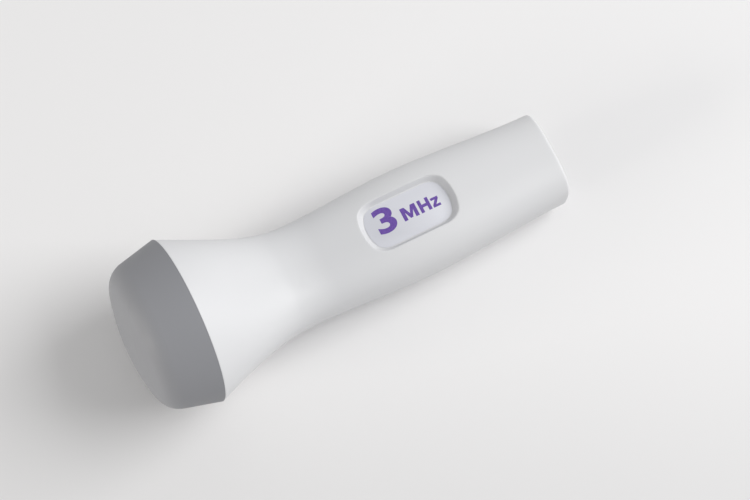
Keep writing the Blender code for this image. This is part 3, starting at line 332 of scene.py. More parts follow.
finishes = {
    "white_abs": moulded_plastic("white_abs", (0.712, 0.715, 0.727), (0.694, 0.697, 0.708), 0.50),
    "grey_abs": moulded_plastic("grey_abs", (0.276, 0.280, 0.298), (0.258, 0.262, 0.280), 0.64),
    "holder_plastic": moulded_plastic("holder_plastic", (0.045, 0.045, 0.048), (0.035, 0.035, 0.037), 0.55),
    "jack_black": moulded_plastic("jack_black", (0.030, 0.030, 0.033), (0.022, 0.022, 0.024), 0.42, 3400.0),
    "header_cream": moulded_plastic("header_cream", (0.78, 0.74, 0.64), (0.72, 0.68, 0.57), 0.5, 3400.0),
    "chip_black": moulded_plastic("chip_black", (0.030, 0.030, 0.032), (0.020, 0.020, 0.022), 0.5, 6000.0),
}
print("moulded finishes:", sorted(finishes))

# %% [markdown]
# ## The other finishes
#
# The label is a printed polyester film, smoother than the moulding round it. Inside there are
# metals that differ in colour and grain, rubber and foam with pores, cork with its dark flecks,
# the board's lacquered laminate with a faint weave, and coloured PVC on the leads.

# %% Make the film, the rubbers and the cork
def soft_material(name, colour, fleck, gloss, cells, low, high, depth):
    """A material of cells or pores: foam, rubber and cork, from one cell pattern."""
    material, tree, shader = new_material(name)
    vector = object_coordinates(tree)
    cell = tree.nodes.new("ShaderNodeTexVoronoi")
    cell.inputs["Scale"].default_value = cells
    tree.links.new(vector, cell.inputs["Vector"])
    spots = add_ramp(tree, cell.outputs["Distance"], low, high)
    tree.links.new(mix_colour(tree, spots, fleck, colour), shader.inputs["Base Color"])
    cloud = add_noise(tree, vector, cells / 4)
    tree.links.new(add_ramp(tree, cloud, 0.3, 0.7, gloss - 0.06, gloss + 0.06), shader.inputs["Roughness"])
    add_bump(tree, shader, cell.outputs["Distance"], depth)
    return material


finishes["label_film"] = moulded_plastic("label_film", (0.688, 0.696, 0.744), (0.672, 0.680, 0.728), 0.42,
                                         5200.0, 0.0012 * MM)
finishes["seal_rubber"] = soft_material("seal_rubber", (0.03, 0.03, 0.032), (0.02, 0.02, 0.02), 0.7,
                                        3000.0, 0.0, 0.3, 0.01 * MM)
finishes["backing_foam"] = soft_material("backing_foam", (0.19, 0.19, 0.20), (0.05, 0.05, 0.055), 0.95,
                                         2400.0, 0.1, 0.45, 0.12 * MM)
finishes["cork"] = soft_material("cork", (0.46, 0.30, 0.17), (0.20, 0.11, 0.06), 0.9,
                                 1500.0, 0.05, 0.5, 0.05 * MM)

# %% [markdown]
# Metal parts show how they were made: cans are drawn and brushed one way, contacts are plated, and
# the screws are zinc plated and even. Their marks are a noise that is drawn out along one axis. The
# crystals are fired ceramic with silver on both faces, and chip capacitors are the bare ceramic.

# %% Make the metals and the ceramics
def metal(name, colour, tarnish, gloss, stretch=(1, 1, 1)):
    """Metal with fine marks, drawn out along one axis where it is brushed or rolled."""
    material, tree, shader = new_material(name)
    vector = object_coordinates(tree, scale=stretch)
    streaks = add_noise(tree, vector, 1800.0, 3.0, 0.6)
    cloud = add_noise(tree, object_coordinates(tree), 260.0)
    tree.links.new(mix_colour(tree, add_ramp(tree, cloud, 0.35, 0.75), colour, tarnish),
                   shader.inputs["Base Color"])
    tree.links.new(add_ramp(tree, streaks, 0.3, 0.7, gloss - 0.07, gloss + 0.09), shader.inputs["Roughness"])
    shader.inputs["Metallic"].default_value = 1.0
    add_bump(tree, shader, streaks, 0.002 * MM)
    return material


def fired_ceramic(name, colour, dust, gloss, metallic=0.0):
    """Fired ceramic, bare or silvered, with a fine dusty mottle."""
    material, tree, shader = new_material(name)
    vector = object_coordinates(tree)
    mottle = add_noise(tree, vector, 900.0, 4.0, 0.7)
    tree.links.new(mix_colour(tree, add_ramp(tree, mottle, 0.4, 0.7), colour, dust),
                   shader.inputs["Base Color"])
    tree.links.new(add_ramp(tree, mottle, 0.3, 0.7, gloss - 0.05, gloss + 0.1), shader.inputs["Roughness"])
    shader.inputs["Metallic"].default_value = metallic
    add_bump(tree, shader, mottle, 0.006 * MM)
    return material


finishes["copper_foil"] = metal("copper_foil", (0.80, 0.44, 0.29), (0.62, 0.33, 0.22), 0.33)
finishes["can_metal"] = metal("can_metal", (0.62, 0.62, 0.63), (0.55, 0.55, 0.56), 0.34, (1, 1, 0.1))
finishes["can_steel"] = metal("can_steel", (0.60, 0.60, 0.61), (0.50, 0.50, 0.50), 0.30, (0.1, 1, 1))
finishes["contact_gold"] = metal("contact_gold", (0.87, 0.64, 0.27), (0.80, 0.56, 0.22), 0.22, (0.1, 1, 1))
finishes["screw_steel"] = metal("screw_steel", (0.57, 0.57, 0.58), (0.46, 0.46, 0.47), 0.33)
finishes["crystal_ceramic"] = fired_ceramic("crystal_ceramic", (0.79, 0.78, 0.75), (0.70, 0.69, 0.66),
                                            0.38, 1.0)
finishes["chip_ceramic"] = fired_ceramic("chip_ceramic", (0.46, 0.34, 0.21), (0.40, 0.29, 0.17), 0.55)

# %% [markdown]
# The board's glass cloth shows faintly through its green lacquer, as two crossed wave patterns. The
# leads are thin PVC in four colours, told apart when they are plugged in.

# %% Make the board and the leads
material, tree, shader = new_material("board_laminate")
vector = object_coordinates(tree)
weave = tree.nodes.new("ShaderNodeTexWave")
weave.inputs["Scale"].default_value = 900.0
tree.links.new(vector, weave.inputs["Vector"])
cross_weave = tree.nodes.new("ShaderNodeTexWave")
cross_weave.bands_direction = "Y"
cross_weave.inputs["Scale"].default_value = 900.0
tree.links.new(vector, cross_weave.inputs["Vector"])
threads = add_math(tree, "MULTIPLY", weave.outputs["Fac"], cross_weave.outputs["Fac"])
tree.links.new(mix_colour(tree, threads, (0.018, 0.150, 0.062), (0.026, 0.195, 0.085)),
               shader.inputs["Base Color"])
tree.links.new(add_ramp(tree, threads, 0.0, 1.0, 0.46, 0.54), shader.inputs["Roughness"])
add_bump(tree, shader, threads, 0.006 * MM)
finishes["board_laminate"] = material

PVC_COLOURS = {"lead_red": (0.56, 0.03, 0.03), "lead_black": (0.02, 0.02, 0.021),
               "lead_white": (0.75, 0.75, 0.74), "lead_blue": (0.03, 0.08, 0.40)}
for name, colour in PVC_COLOURS.items():
    shade = tuple(value * 0.88 for value in colour)
    finishes[name] = moulded_plastic(name, colour, shade, 0.42, 4200.0, 0.002 * MM)
print("finishes:", len(finishes))

# %% [markdown]
# Every node of the CAD model has a slot in the record. Its own mesh is left alone and only gets the
# finish of that slot.

# %% Give every CAD node its finish
slots = {row["node"]: row["material_slot"] for row in frame["record"]["subparts"]}
for name, node in frame["nodes"].items():
    for index in range(len(node.material_slots)):
        node.material_slots[index].material = finishes[slots[name]]
print("dressed nodes:", len(slots))

# %% [markdown]
# ## The handle's curves
#
# The housing is a loft: a round section at the head turns into a soft square along the grip, on a
# centre line that climbs to the head. A few knots of place, value and slope describe each curve,
# and a section is a superellipse, whose exponent of 2 is an ellipse and of 3 a soft square.

# %% Sizes and curves of the housing
RIM_RADIUS = 19.85 * MM
HEAD_RISE = 7.2 * MM
HEAD_TILT = math.radians(6.1)
NECK_X = 28.0 * MM
GRIP_X = 57.0 * MM
BODY_LENGTH = 93.69 * MM
BEND_END = 34.0 * MM
TAIL_EDGE = 0.7 * MM
WALL = 2.0 * MM
WIDTHS = [(0.0, RIM_RADIUS, -0.40), (NECK_X, 11.65 * MM, 0.0), (GRIP_X, 12.8 * MM, 0.0),
          (BODY_LENGTH, 11.1 * MM, 0.0)]
HEIGHTS = [(0.0, RIM_RADIUS, -0.54), (24.5 * MM, 9.5 * MM, 0.0), (GRIP_X, 10.45 * MM, 0.0),
           (BODY_LENGTH, 9.3 * MM, 0.0)]
SQUARENESS = [(0.0, 2.0, 0.0), (NECK_X, 3.0, 0.0)]
RISES = [(0.0, HEAD_RISE, -math.tan(HEAD_TILT)), (BEND_END, 0.0, 0.0)]
TILTS = [(0.0, HEAD_TILT, 0.0), (BEND_END, 0.0, 0.0)]


def curve(x, knots):
    """Smooth curve through knots of place, value and slope."""
    for (x0, v0, s0), (x1, v1, s1) in zip(knots, knots[1:]):
        if x <= x1:
            break
    run = x1 - x0
    t = min(max((x - x0) / run, 0.0), 1.0)
    keep = 1 - 3 * t**2 + 2 * t**3
    return v0 * keep + v1 * (1 - keep) + s0 * run * (t - 2 * t**2 + t**3) + s1 * run * (t**3 - t**2)


LEAN = math.asin(0.035469)
handle_matrix = Matrix.Translation((-39.473 * MM, 0.0, 12.613 * MM)) @ Matrix.Rotation(LEAN, 4, "Y")
head_matrix = handle_matrix @ Matrix.Translation((0.0, 0.0, HEAD_RISE)) @ Matrix.Rotation(HEAD_TILT, 4, "Y")


def place_in_section(x, y, z):
    """A point of the section at x, in the handle's frame."""
    tilt = curve(x, TILTS)
    if x < 0:
        return Vector((x * math.cos(HEAD_TILT) + z * math.sin(tilt), y,
                       HEAD_RISE - x * math.sin(HEAD_TILT) + z * math.cos(tilt)))
    return Vector((x + z * math.sin(tilt), y, curve(x, RISES) + z * math.cos(tilt)))


def around(half_width, half_height, exponent, angle):
    """The point of a superellipse that lies in a direction, as y and z."""
    reach = (abs(math.cos(angle)) ** exponent + abs(math.sin(angle)) ** exponent) ** (-1 / exponent)
    return half_width * reach * math.cos(angle), half_height * reach * math.sin(angle)


# %% [markdown]
# ## Stations of the moulding
#
# Each half is one grid wrapped round the centre line. Its columns run along the probe: over the
# spigot that goes into the cap, up the step, along the flare and the grip, round the edge of the
# tail and across the end face to the jack's window. A station is a place, how far the outline has
# been drawn in there, and how far it has closed on the window.

# %% List the stations
SPIGOT_END = -4.5 * MM
SPIGOT_EDGE = 0.2 * MM
SPIGOT_RADIUS = 16.9 * MM
SPIGOT_INSIDE = 14.5 * MM
GROOVE_FRONT = -2.5 * MM
GROOVE_BACK = -1.3 * MM
GROOVE_RADIUS = 16.0 * MM
STEP_START = -0.06 * MM
STEP_RADII = (17.1 * MM, 18.4 * MM)
RIM_EDGE = 0.06 * MM
FLARE_STEP, POCKET_STEP, TAIL_STEP = 0.55 * MM, 0.2 * MM, 0.6 * MM
EDGE_STEPS = 8
WINDOW_HALF_WIDTH = 6.4 * MM
WINDOW_HEIGHTS = {1: 6.4 * MM, -1: 4.4 * MM}
WINDOW_STATIONS = [(0.0, 0.3), (0.0, 0.65), (0.0, 0.95), (0.05 * MM, 0.985), (0.2 * MM, 1.0)]
POCKET_X = NECK_X + 28.1 * MM
POCKET_LENGTH = 23.5 * MM
POCKET_WIDTH = 12.5 * MM
POCKET_MARGIN = 1.0 * MM


def spread(first, last, step):
    """Evenly spaced places from first up to last, about a step apart."""
    count = max(1, math.ceil((last - first) / step))
    return [first + (last - first) * index / count for index in range(count)]


pocket_start = POCKET_X - POCKET_LENGTH / 2 - POCKET_MARGIN
pocket_end = POCKET_X + POCKET_LENGTH / 2 + POCKET_MARGIN
tail_edge_start = BODY_LENGTH - TAIL_EDGE
stations = [(x, radius, None, 0.0) for x, radius in (
    (SPIGOT_END, SPIGOT_RADIUS - SPIGOT_EDGE), (SPIGOT_END + SPIGOT_EDGE, SPIGOT_RADIUS),
    (GROOVE_FRONT, SPIGOT_RADIUS), (GROOVE_FRONT, GROOVE_RADIUS),
    (GROOVE_BACK, GROOVE_RADIUS), (GROOVE_BACK, SPIGOT_RADIUS),
    (STEP_START, SPIGOT_RADIUS), (0.0, STEP_RADII[0]), (0.0, STEP_RADII[1]))]
for angle in (90.0, 67.5, 45.0, 22.5):
    turn = math.radians(angle)
    stations.append((RIM_EDGE * (1 - math.sin(turn)), None, RIM_EDGE * (1 - math.cos(turn)), 0.0))
stations += [(x, None, 0.0, 0.0) for x in spread(RIM_EDGE, pocket_start, FLARE_STEP)]
stations += [(x, None, 0.0, 0.0) for x in spread(pocket_start, pocket_end, POCKET_STEP)]
stations += [(x, None, 0.0, 0.0) for x in spread(pocket_end, tail_edge_start, TAIL_STEP)]
for step in range(EDGE_STEPS + 1):
    turn = math.pi / 2 * step / EDGE_STEPS
    stations.append((tail_edge_start + TAIL_EDGE * math.sin(turn), None,
                     TAIL_EDGE * (1 - math.cos(turn)), 0.0))
stations += [(BODY_LENGTH - sunk, None, TAIL_EDGE, close) for sunk, close in WINDOW_STATIONS]
print("stations:", len(stations))

# %% [markdown]
# ## Directions round a section
#
# The rows run from one side joint over the top to the other. They lie close together over the
# label recess, and three rows at each joint round the edge of the moulding, so the parting line
# shows as a fine groove.

# %% List the directions
PARTING_LINE = 0.10 * MM
JOINT_DROPS = {0: 0.10 * MM, 1: 0.03 * MM, 2: 0.005 * MM}
TOP_ZONE = math.radians(57.0)
joint_rows = [math.radians(angle) for angle in (0.0, 0.25, 0.55)]
side_rows = spread(math.radians(0.9), TOP_ZONE, math.radians(2.6))
top_rows = spread(TOP_ZONE, math.pi / 2, math.radians(0.85))
quarter_turn = joint_rows + side_rows + top_rows
directions = quarter_turn + [math.pi / 2] + [math.pi - angle for angle in reversed(quarter_turn)]
print("directions:", len(directions))

# %% [markdown]
# ## The label recess
#
# A moulded recess has drafted walls, so that the part leaves its mould, and rounded edges. Here it
# is pressed into the grid: the share of the depth at a point grows from the mouth's outline to the
# floor's, and a soft ramp rounds both edges. The ends of the outline are bowed.

# %% Shape of the recess
POCKET_DEPTH = 2.1 * MM
POCKET_BOW = 2.0 * MM
POCKET_CORNER = 2.3 * MM
END_DRAFT = 1.05 * MM
SIDE_DRAFT = 0.8 * MM
POCKET_WALL = 1.4 * MM
ROUNDED_SHARE = 0.13
pocket_floor = curve(POCKET_X, HEIGHTS) - POCKET_DEPTH


def inside_outline(x, y, length, width, corner):
    """Distance of a point inside a bowed, rounded outline. It is negative outside."""
    bow_radius = ((width / 2) ** 2 + POCKET_BOW**2) / (2 * POCKET_BOW)
    arc_centre = length / 2 - bow_radius
    beside = abs(y) - (width / 2 - corner)
    beyond = math.hypot(abs(x - POCKET_X) - arc_centre, y) - (bow_radius - corner)
    if abs(x - POCKET_X) < arc_centre:
        beyond = -width
    return corner - math.hypot(max(beside, 0.0), max(beyond, 0.0)) - min(max(beside, beyond), 0.0)


def pocket_share(x, y):
    """How deep the recess is at a point, from 0 outside to 1 on its floor, with rounded edges."""
    if not pocket_start < x < pocket_end or abs(y) > POCKET_WIDTH / 2 + POCKET_MARGIN:
        return 0.0
    edge = ROUNDED_SHARE
    to_mouth = inside_outline(x, y, POCKET_LENGTH, POCKET_WIDTH, POCKET_CORNER)
    to_floor = inside_outline(x, y, POCKET_LENGTH - 2 * END_DRAFT, POCKET_WIDTH - 2 * SIDE_DRAFT,
                              POCKET_CORNER - SIDE_DRAFT / 2)
    share = to_mouth / (to_mouth - to_floor)
    if share < edge:
        return max(0.0, share + edge) ** 2 / (4 * edge)
    if share > 1 - edge:
        return 1 - max(0.0, 1 + edge - share) ** 2 / (4 * edge)
    return share


# %% [markdown]
# ## Wrapping the halves
#
# A flat grid is made by an operator, and each of its points is then moved to its place on the
# outside of the half. A copy of the grid is moved to the inside of the wall, and bridging the two
# borders closes the spigot's end, both side joints and the window in one go.

# %% Wrap a half
def outside_point(station, angle, row, side):
    """A point on the outside of one half, in the handle's frame."""
    x, radius, drop, close = station
    edge = PARTING_LINE / 2
    joint_drop = JOINT_DROPS.get(min(row, len(directions) - 1 - row), 0.0)
    if radius:
        y, z = around(radius, radius, 2.0, angle)
        return place_in_section(x, y, side * max(z, edge))
    exponent = curve(x, SQUARENESS)
    y, z = around(curve(x, WIDTHS) - drop - joint_drop, curve(x, HEIGHTS) - drop, exponent, angle)
    z = max(z, edge)
    if close:
        window_y, window_z = window_point(angle, side)
        y += (window_y - y) * close
        z += (window_z - z) * close
        z = max(z, edge)
    if side > 0:
        share = pocket_share(x, y)
        z += (pocket_floor - z) * share
    return place_in_section(x, y, side * z)


def window_point(angle, side):
    """The point of the window's outline in a direction, with true corners."""
    height = WINDOW_HEIGHTS[side]
    corner = math.atan2(height, WINDOW_HALF_WIDTH)
    half_step = math.radians(1.3)
    if abs(angle - corner) < half_step or abs(math.pi - angle - corner) < half_step:
        return math.copysign(WINDOW_HALF_WIDTH, math.cos(angle)), height
    reach = min(WINDOW_HALF_WIDTH / max(abs(math.cos(angle)), 1e-9), height / max(math.sin(angle), 1e-9))
    return reach * math.cos(angle), reach * math.sin(angle)


def inside_point(station, angle, side, outer):
    """The point on the inside of the wall that faces an outside point."""
    x, radius, _, close = station
    edge = PARTING_LINE / 2
    if radius:
        y, z = around(SPIGOT_INSIDE, SPIGOT_INSIDE, 2.0, angle)
        return place_in_section(x, y, side * max(z, edge))
    place = min(x, BODY_LENGTH - WALL)
    half_w = min(curve(place, WIDTHS) - WALL, SPIGOT_INSIDE)
    half_h = min(curve(place, HEIGHTS) - WALL, SPIGOT_INSIDE)
    y, z = around(half_w, half_h, curve(place, SQUARENESS), angle)
    if close:
        window_y, window_z = window_point(angle, side)
        y += (window_y - y) * close
        z += (window_z - z) * close
    z = max(z, edge)
    if side > 0 and pocket_start - WALL < x < pocket_end + WALL:
        z = max(min(z, outer.z - POCKET_WALL), edge)
    return place_in_section(place, y, side * z)


def wrapped_half(name, side):
    """One closed half of the housing, as a bmesh in the handle's frame."""
    bm = bmesh.new()
    columns, rows = len(stations), len(directions)
    bmesh.ops.create_grid(bm, x_segments=columns - 1, y_segments=rows - 1, size=1.0)
    bm.verts.ensure_lookup_table()
    inner = bmesh.ops.duplicate(bm, geom=bm.faces[:] + bm.edges[:] + bm.verts[:])
    outer_of = {}
    for vert in bm.verts:
        column = round((vert.co.x + 1.0) / 2.0 * (columns - 1))
        row = round((vert.co.y + 1.0) / 2.0 * (rows - 1))
        outer_of[vert] = (column, row)
    inner_verts = {item for item in inner["geom"] if isinstance(item, bmesh.types.BMVert)}
    outside = {}
    for vert, (column, row) in outer_of.items():
        if vert not in inner_verts:
            vert.co = outside_point(stations[column], directions[row], row, side)
            outside[column, row] = vert.co.copy()
    for vert in inner_verts:
        column, row = outer_of[vert]
        vert.co = inside_point(stations[column], directions[row], side, outside[column, row])
    border = [edge for edge in bm.edges if edge.is_boundary]
    bmesh.ops.bridge_loops(bm, edges=border)
    bmesh.ops.remove_doubles(bm, verts=bm.verts, dist=0.0005 * MM)
    bmesh.ops.recalc_face_normals(bm, faces=bm.faces)
    print(name, "faces:", len(bm.faces), "open edges:", sum(not edge.is_manifold for edge in bm.edges))
    return bm


SHARP_ANGLE = math.radians(35.0)


def finished_piece(name, bm, matrix, finish):
    """Place a bmesh, and make it a smooth-shaded object with its finish that rides on the probe."""
    bmesh.ops.transform(bm, matrix=matrix, verts=bm.verts)
    mesh = bpy.data.meshes.new(name)
    bm.to_mesh(mesh)
    bm.free()
    piece = bpy.data.objects.new(name, mesh)
    bpy.context.collection.objects.link(piece)
    mesh.materials.append(finishes[finish])
    mesh.shade_smooth()
    mesh.set_sharp_from_angle(angle=SHARP_ANGLE)
    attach(piece, "root")
    return piece


upper_half = wrapped_half("upper half", 1)
upper_shell = finished_piece("upper_housing_moulding", upper_half, handle_matrix, "white_abs")
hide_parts("upper_housing")
lower_half = wrapped_half("lower half", -1)

# %% [markdown]
# ## Screw holes
#
# Two screws hold the halves together from below. Each sits in a counterbore in a round boss, so its
# head lies below the surface. Bosses and holes are plain cylinders, joined to the half or cut from
# it with Boolean modifiers. The modifiers are applied at once, so none stays on the piece.

# %% Cut the screw holes
SCREW_PLACES = (22.9 * MM, 73.1 * MM)
BOSS_RADIUS = 3.0 * MM
HEAD_HOLE_RADIUS = 2.2 * MM
SHANK_HOLE_RADIUS = 1.4 * MM
SEAT_DEPTH = 2.6 * MM
ROD_SEGMENTS = 72


def add_rod(bm, x, bottom, top, radius):
    """A closed cylinder that stands between two heights of the handle's frame."""
    bmesh.ops.create_cone(bm, cap_ends=True, segments=ROD_SEGMENTS, radius1=radius, radius2=radius,
                          depth=top - bottom, matrix=Matrix.Translation((x, 0.0, (bottom + top) / 2)))


def combine(bm, tool_bm, operation):
    """Join a closed bmesh to another, or cut it away. Both are used up, and the result is returned."""
    pair = []
    for part in (bm, tool_bm):
        mesh = bpy.data.meshes.new("combined")
        part.to_mesh(mesh)
        part.free()
        pair.append(bpy.data.objects.new("combined", mesh))
        bpy.context.collection.objects.link(pair[-1])
    modifier = pair[0].modifiers.new("combine", "BOOLEAN")
    modifier.solver = "MANIFOLD"
    modifier.operation = operation
    modifier.object = pair[1]
    bpy.context.view_layer.update()
    result = bmesh.new()
    result.from_object(pair[0], bpy.context.evaluated_depsgraph_get())
    for helper in pair:
        bpy.data.objects.remove(helper)
    return result


bosses = bmesh.new()
holes = bmesh.new()
for x in SCREW_PLACES:
    underside = curve(x, RISES) - curve(x, HEIGHTS)
    add_rod(bosses, x, underside + WALL / 2, -PARTING_LINE, BOSS_RADIUS)
    add_rod(holes, x, underside - 2 * MM, underside + SEAT_DEPTH, HEAD_HOLE_RADIUS)
    add_rod(holes, x, underside + SEAT_DEPTH - 0.5 * MM, 1.0 * MM, SHANK_HOLE_RADIUS)
lower_half = combine(lower_half, bosses, "UNION")
lower_half = combine(lower_half, holes, "DIFFERENCE")
print("lower half faces:", len(lower_half.faces), "open edges:",
      sum(not edge.is_manifold for edge in lower_half.edges))
lower_shell = finished_piece("lower_housing_moulding", lower_half, handle_matrix, "white_abs")
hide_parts("lower_housing")

# %% [markdown]
# ## The cap
#
# The cap is turned, as its mould is: half of its section is drawn once and spun round the head's
# axis. The section's curves are spun too. A single point swung about the middle of a circle leaves
# an arc behind, so the crowned face and the large soft corner are two arcs that meet with the same
# slope. The crown lets gel spread under the face without trapping air.

# %% Draw the cap's section
CAP_RADIUS = 19.96 * MM
CAP_TAPER = math.radians(14.0)
CAP_FACE_X = -13.3 * MM
CAP_CORNER = 6.1 * MM
CAP_CROWN = 1.57 * MM
CAP_WALL = 1.8 * MM
CAP_RIM_X = -0.05 * MM
CAP_BORE = 17.2 * MM
CAP_STOP_X = -4.65 * MM
CROWN_STEPS = 14
CORNER_STEPS = 22
CORNER_X = CAP_FACE_X + CAP_CORNER


def cap_radius(x):
    """Radius of the cap's tapered side."""
    return CAP_RADIUS + x * math.tan(CAP_TAPER)


def swing(bm, vert, centre, angle, steps):
    """Swing a vertex about the Y axis through a centre. It leaves an arc, whose last vertex is returned."""
    arc = bmesh.ops.spin(bm, geom=[vert], cent=centre, axis=(0, 1, 0), dvec=(0, 0, 0), angle=angle,
                         steps=steps, use_merge=False, use_duplicate=False)
    return next(item for item in arc["geom_last"] if isinstance(item, bmesh.types.BMVert))


corner_centre = cap_radius(CORNER_X) - CAP_CORNER / math.cos(CAP_TAPER)
reach = CAP_CORNER + CAP_CROWN
crown_radius = (reach**2 + corner_centre**2 - CAP_CORNER**2) / (2 * CAP_CROWN)
crown_angle = math.asin(corner_centre / (crown_radius - CAP_CORNER))
apex_x = CAP_FACE_X - CAP_CROWN
bm = bmesh.new()
apex = bm.verts.new((apex_x, 0.0, 0.0))
face_edge = swing(bm, apex, (apex_x + crown_radius, 0.0, 0.0), crown_angle, CROWN_STEPS)
side_start = swing(bm, face_edge, (CORNER_X, 0.0, corner_centre), math.pi / 2 - CAP_TAPER - crown_angle,
                   CORNER_STEPS)
inside = [(CAP_RIM_X, cap_radius(CAP_RIM_X)), (CAP_RIM_X, CAP_BORE), (CAP_STOP_X, CAP_BORE),
          (CAP_STOP_X, cap_radius(CAP_STOP_X) - CAP_WALL), (CORNER_X, cap_radius(CORNER_X) - CAP_WALL),
          (CAP_FACE_X + CAP_WALL, corner_centre), (CAP_FACE_X + CAP_WALL, 0.0)]
line = [side_start] + [bm.verts.new((x, 0.0, radius)) for x, radius in inside]
for pair in zip(line, line[1:]):
    bm.edges.new(pair)
print("section:", len(bm.verts), "points, crown radius", round(crown_radius / MM, 1), "mm")

# %% [markdown]
# A full turn of the section makes the cup. Its start and end meet, so they are merged, and so are
# the points on the axis. The outer edge of the rim, which lies against the housing, is broken with
# a bevel too small to see as a gap.

# %% Spin the cap
SPIN_STEPS = 160
CAP_RIM_EDGE = 0.06 * MM
NEARLY = 0.01 * MM
bmesh.ops.spin(bm, geom=bm.verts[:] + bm.edges[:], cent=(0, 0, 0), axis=(1, 0, 0), dvec=(0, 0, 0),
               angle=math.tau, steps=SPIN_STEPS, use_merge=True, use_duplicate=False)
bmesh.ops.remove_doubles(bm, verts=bm.verts, dist=0.001 * MM)
rim = [edge for edge in bm.edges
       if all(abs(vert.co.x - CAP_RIM_X) < NEARLY and math.hypot(vert.co.y, vert.co.z) > CAP_BORE + 1.0 * MM
              for vert in edge.verts)]
bmesh.ops.bevel(bm, geom=rim, offset=CAP_RIM_EDGE, offset_type="OFFSET", segments=3, profile=0.5,
                affect="EDGES", material=-1)
bmesh.ops.recalc_face_normals(bm, faces=bm.faces)
print("cap faces:", len(bm.faces), "open edges:", sum(not edge.is_manifold for edge in bm.edges))
cap = finished_piece("head_cap_moulding", bm, head_matrix, "grey_abs")
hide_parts("head_cap")

# %% [markdown]
# ## The printed marking
#
# A probe is marked with the frequency it works at, because one instrument takes several probes.
# The marking is screen printed on a polyester film that is glued into the recess, so it is a layer
# of ink a hundredth of a millimetre thick. It is generic, and copies no maker's lettering.

# %% Make the ink
material, tree, shader = new_material("violet_ink")
vector = object_coordinates(tree)
speckle = add_noise(tree, vector, 2400.0, 3.0, 0.6)
ink = mix_colour(tree, add_ramp(tree, speckle, 0.35, 0.7), (0.125, 0.058, 0.330), (0.165, 0.085, 0.400))
tree.links.new(ink, shader.inputs["Base Color"])
tree.links.new(add_ramp(tree, speckle, 0.3, 0.7, 0.36, 0.48), shader.inputs["Roughness"])
add_bump(tree, shader, speckle, 0.002 * MM)
finishes["violet_ink"] = material

# %% [markdown]
# The film is cut to the outline of the recess's floor, a little smaller, so that it drops in. A disc
# of many points is made by an operator, and each point is moved out along its own direction until
# it meets the outline. Then the disc is extruded to the film's thickness and its upper edge rounded.

# %% Cut the film
FILM_THICKNESS = 0.10 * MM
FILM_LIFT = 0.01 * MM
FILM_INSET = 0.28 * MM
FILM_EDGE = 0.04 * MM
FILM_POINTS = 240
HALVINGS = 30
label_top = pocket_floor + FILM_LIFT + FILM_THICKNESS

bm = bmesh.new()
bmesh.ops.create_circle(bm, cap_ends=True, segments=FILM_POINTS, radius=1.0 * MM)
floor_size = (POCKET_LENGTH - 2 * END_DRAFT, POCKET_WIDTH - 2 * SIDE_DRAFT, POCKET_CORNER - SIDE_DRAFT / 2)
for vert in bm.verts:
    direction = vert.co.normalized()
    near, far = 0.0, POCKET_LENGTH
    for _ in range(HALVINGS):
        reach = (near + far) / 2
        inside = inside_outline(POCKET_X + direction.x * reach, direction.y * reach, *floor_size) > FILM_INSET
        near, far = (reach, far) if inside else (near, reach)
    vert.co = Vector((POCKET_X, 0.0, pocket_floor + FILM_LIFT)) + direction * near
film_top = bmesh.ops.extrude_face_region(bm, geom=bm.faces[:])["geom"]
lifted = [item for item in film_top if isinstance(item, bmesh.types.BMVert)]
bmesh.ops.translate(bm, verts=lifted, vec=(0.0, 0.0, FILM_THICKNESS))
top_edges = [edge for edge in bm.edges if all(vert.co.z > label_top - NEARLY for vert in edge.verts)]
bmesh.ops.bevel(bm, geom=top_edges, offset=FILM_EDGE, offset_type="OFFSET", segments=2, profile=0.5,
                affect="EDGES", material=-1)
bmesh.ops.recalc_face_normals(bm, faces=bm.faces)
print("film faces:", len(bm.faces))
film = finished_piece("frequency_film", bm, handle_matrix, "label_film")
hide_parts("frequency_label")

# %% [markdown]
# Each mark is made at any size, and one helper fits it into its measured box on the film. The
# number comes from Blender's own typeface, made bolder by an offset.

# %% Print the number
INK_THICKNESS = 0.012 * MM
INK_LIFT = 0.002 * MM
BOLDER = 0.028
NUMBER_BOX = ((-7.75 * MM, -2.0 * MM), (-2.95 * MM, 4.3 * MM))


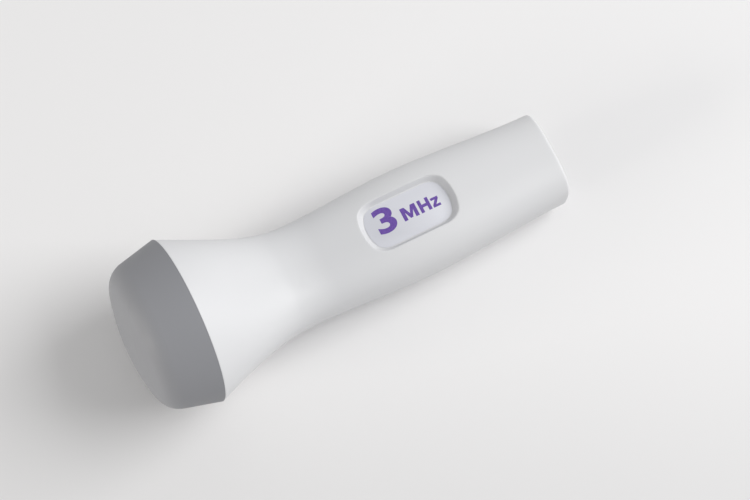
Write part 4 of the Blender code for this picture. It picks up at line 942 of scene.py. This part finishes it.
def lay_ink(name, bm, low, high):
    """Fit letters into a box on the label, in x and y from the label's middle, and ink them."""
    lows = Vector([min(vert.co[axis] for vert in bm.verts) for axis in range(3)])
    highs = Vector([max(vert.co[axis] for vert in bm.verts) for axis in range(3)])
    size = (high[0] - low[0], high[1] - low[1], INK_THICKNESS)
    for vert in bm.verts:
        share = [(vert.co[axis] - lows[axis]) / (highs[axis] - lows[axis]) for axis in range(3)]
        vert.co = (POCKET_X + low[0] + share[0] * size[0], low[1] + share[1] * size[1],
                   label_top + INK_LIFT + share[2] * size[2])
    print(name, "faces:", len(bm.faces))
    finished_piece(name, bm, handle_matrix, "violet_ink")


text = bpy.data.curves.new("number", "FONT")
text.body = "3"
text.extrude = 0.5
text.offset = BOLDER
holder = bpy.data.objects.new("number_text", text)
bpy.context.collection.objects.link(holder)
bpy.context.view_layer.update()
bm = bmesh.new()
bm.from_mesh(holder.evaluated_get(bpy.context.evaluated_depsgraph_get()).to_mesh())
bpy.data.objects.remove(holder)
bmesh.ops.remove_doubles(bm, verts=bm.verts, dist=0.0001)
lay_ink("printed_number", bm, *NUMBER_BOX)

# %% [markdown]
# The typeface's small letters close up when they are made this bold. So the unit's three letters
# are drawn as plain outlines on a unit square, widened to their own boxes and extruded together.

# %% Print the unit
LETTERS = {
    "M": [(0, 0), (.23, 0), (.23, .6), (.42, .06), (.58, .06), (.77, .6), (.77, 0), (1, 0), (1, 1), (.71, 1),
          (.5, .42), (.29, 1), (0, 1)],
    "H": [(0, 0), (.29, 0), (.29, .38), (.71, .38), (.71, 0), (1, 0), (1, 1), (.71, 1), (.71, .61),
          (.29, .61), (.29, 1), (0, 1)],
    "z": [(0, 0), (1, 0), (1, .25), (.47, .25), (1, .77), (1, 1), (0, 1), (0, .75), (.52, .75), (0, .23)],
}
LETTER_BOXES = {"M": (0.0, 3.9, 3.2), "H": (4.5, 2.8, 3.2), "z": (7.7, 1.9, 2.4)}
UNIT_BOX = ((-1.3 * MM, -1.25 * MM), (8.1 * MM, 1.95 * MM))
bm = bmesh.new()
for letter, (left, width, height) in LETTER_BOXES.items():
    bm.faces.new([bm.verts.new((left + x * width, y * height, 0.0)) for x, y in LETTERS[letter]])
raised = bmesh.ops.extrude_face_region(bm, geom=bm.faces[:])["geom"]
raised_verts = [item for item in raised if isinstance(item, bmesh.types.BMVert)]
bmesh.ops.translate(bm, verts=raised_verts, vec=(0, 0, 1))
bmesh.ops.recalc_face_normals(bm, faces=bm.faces)
print("unit's open edges:", sum(not edge.is_manifold for edge in bm.edges))
lay_ink("printed_unit", bm, *UNIT_BOX)
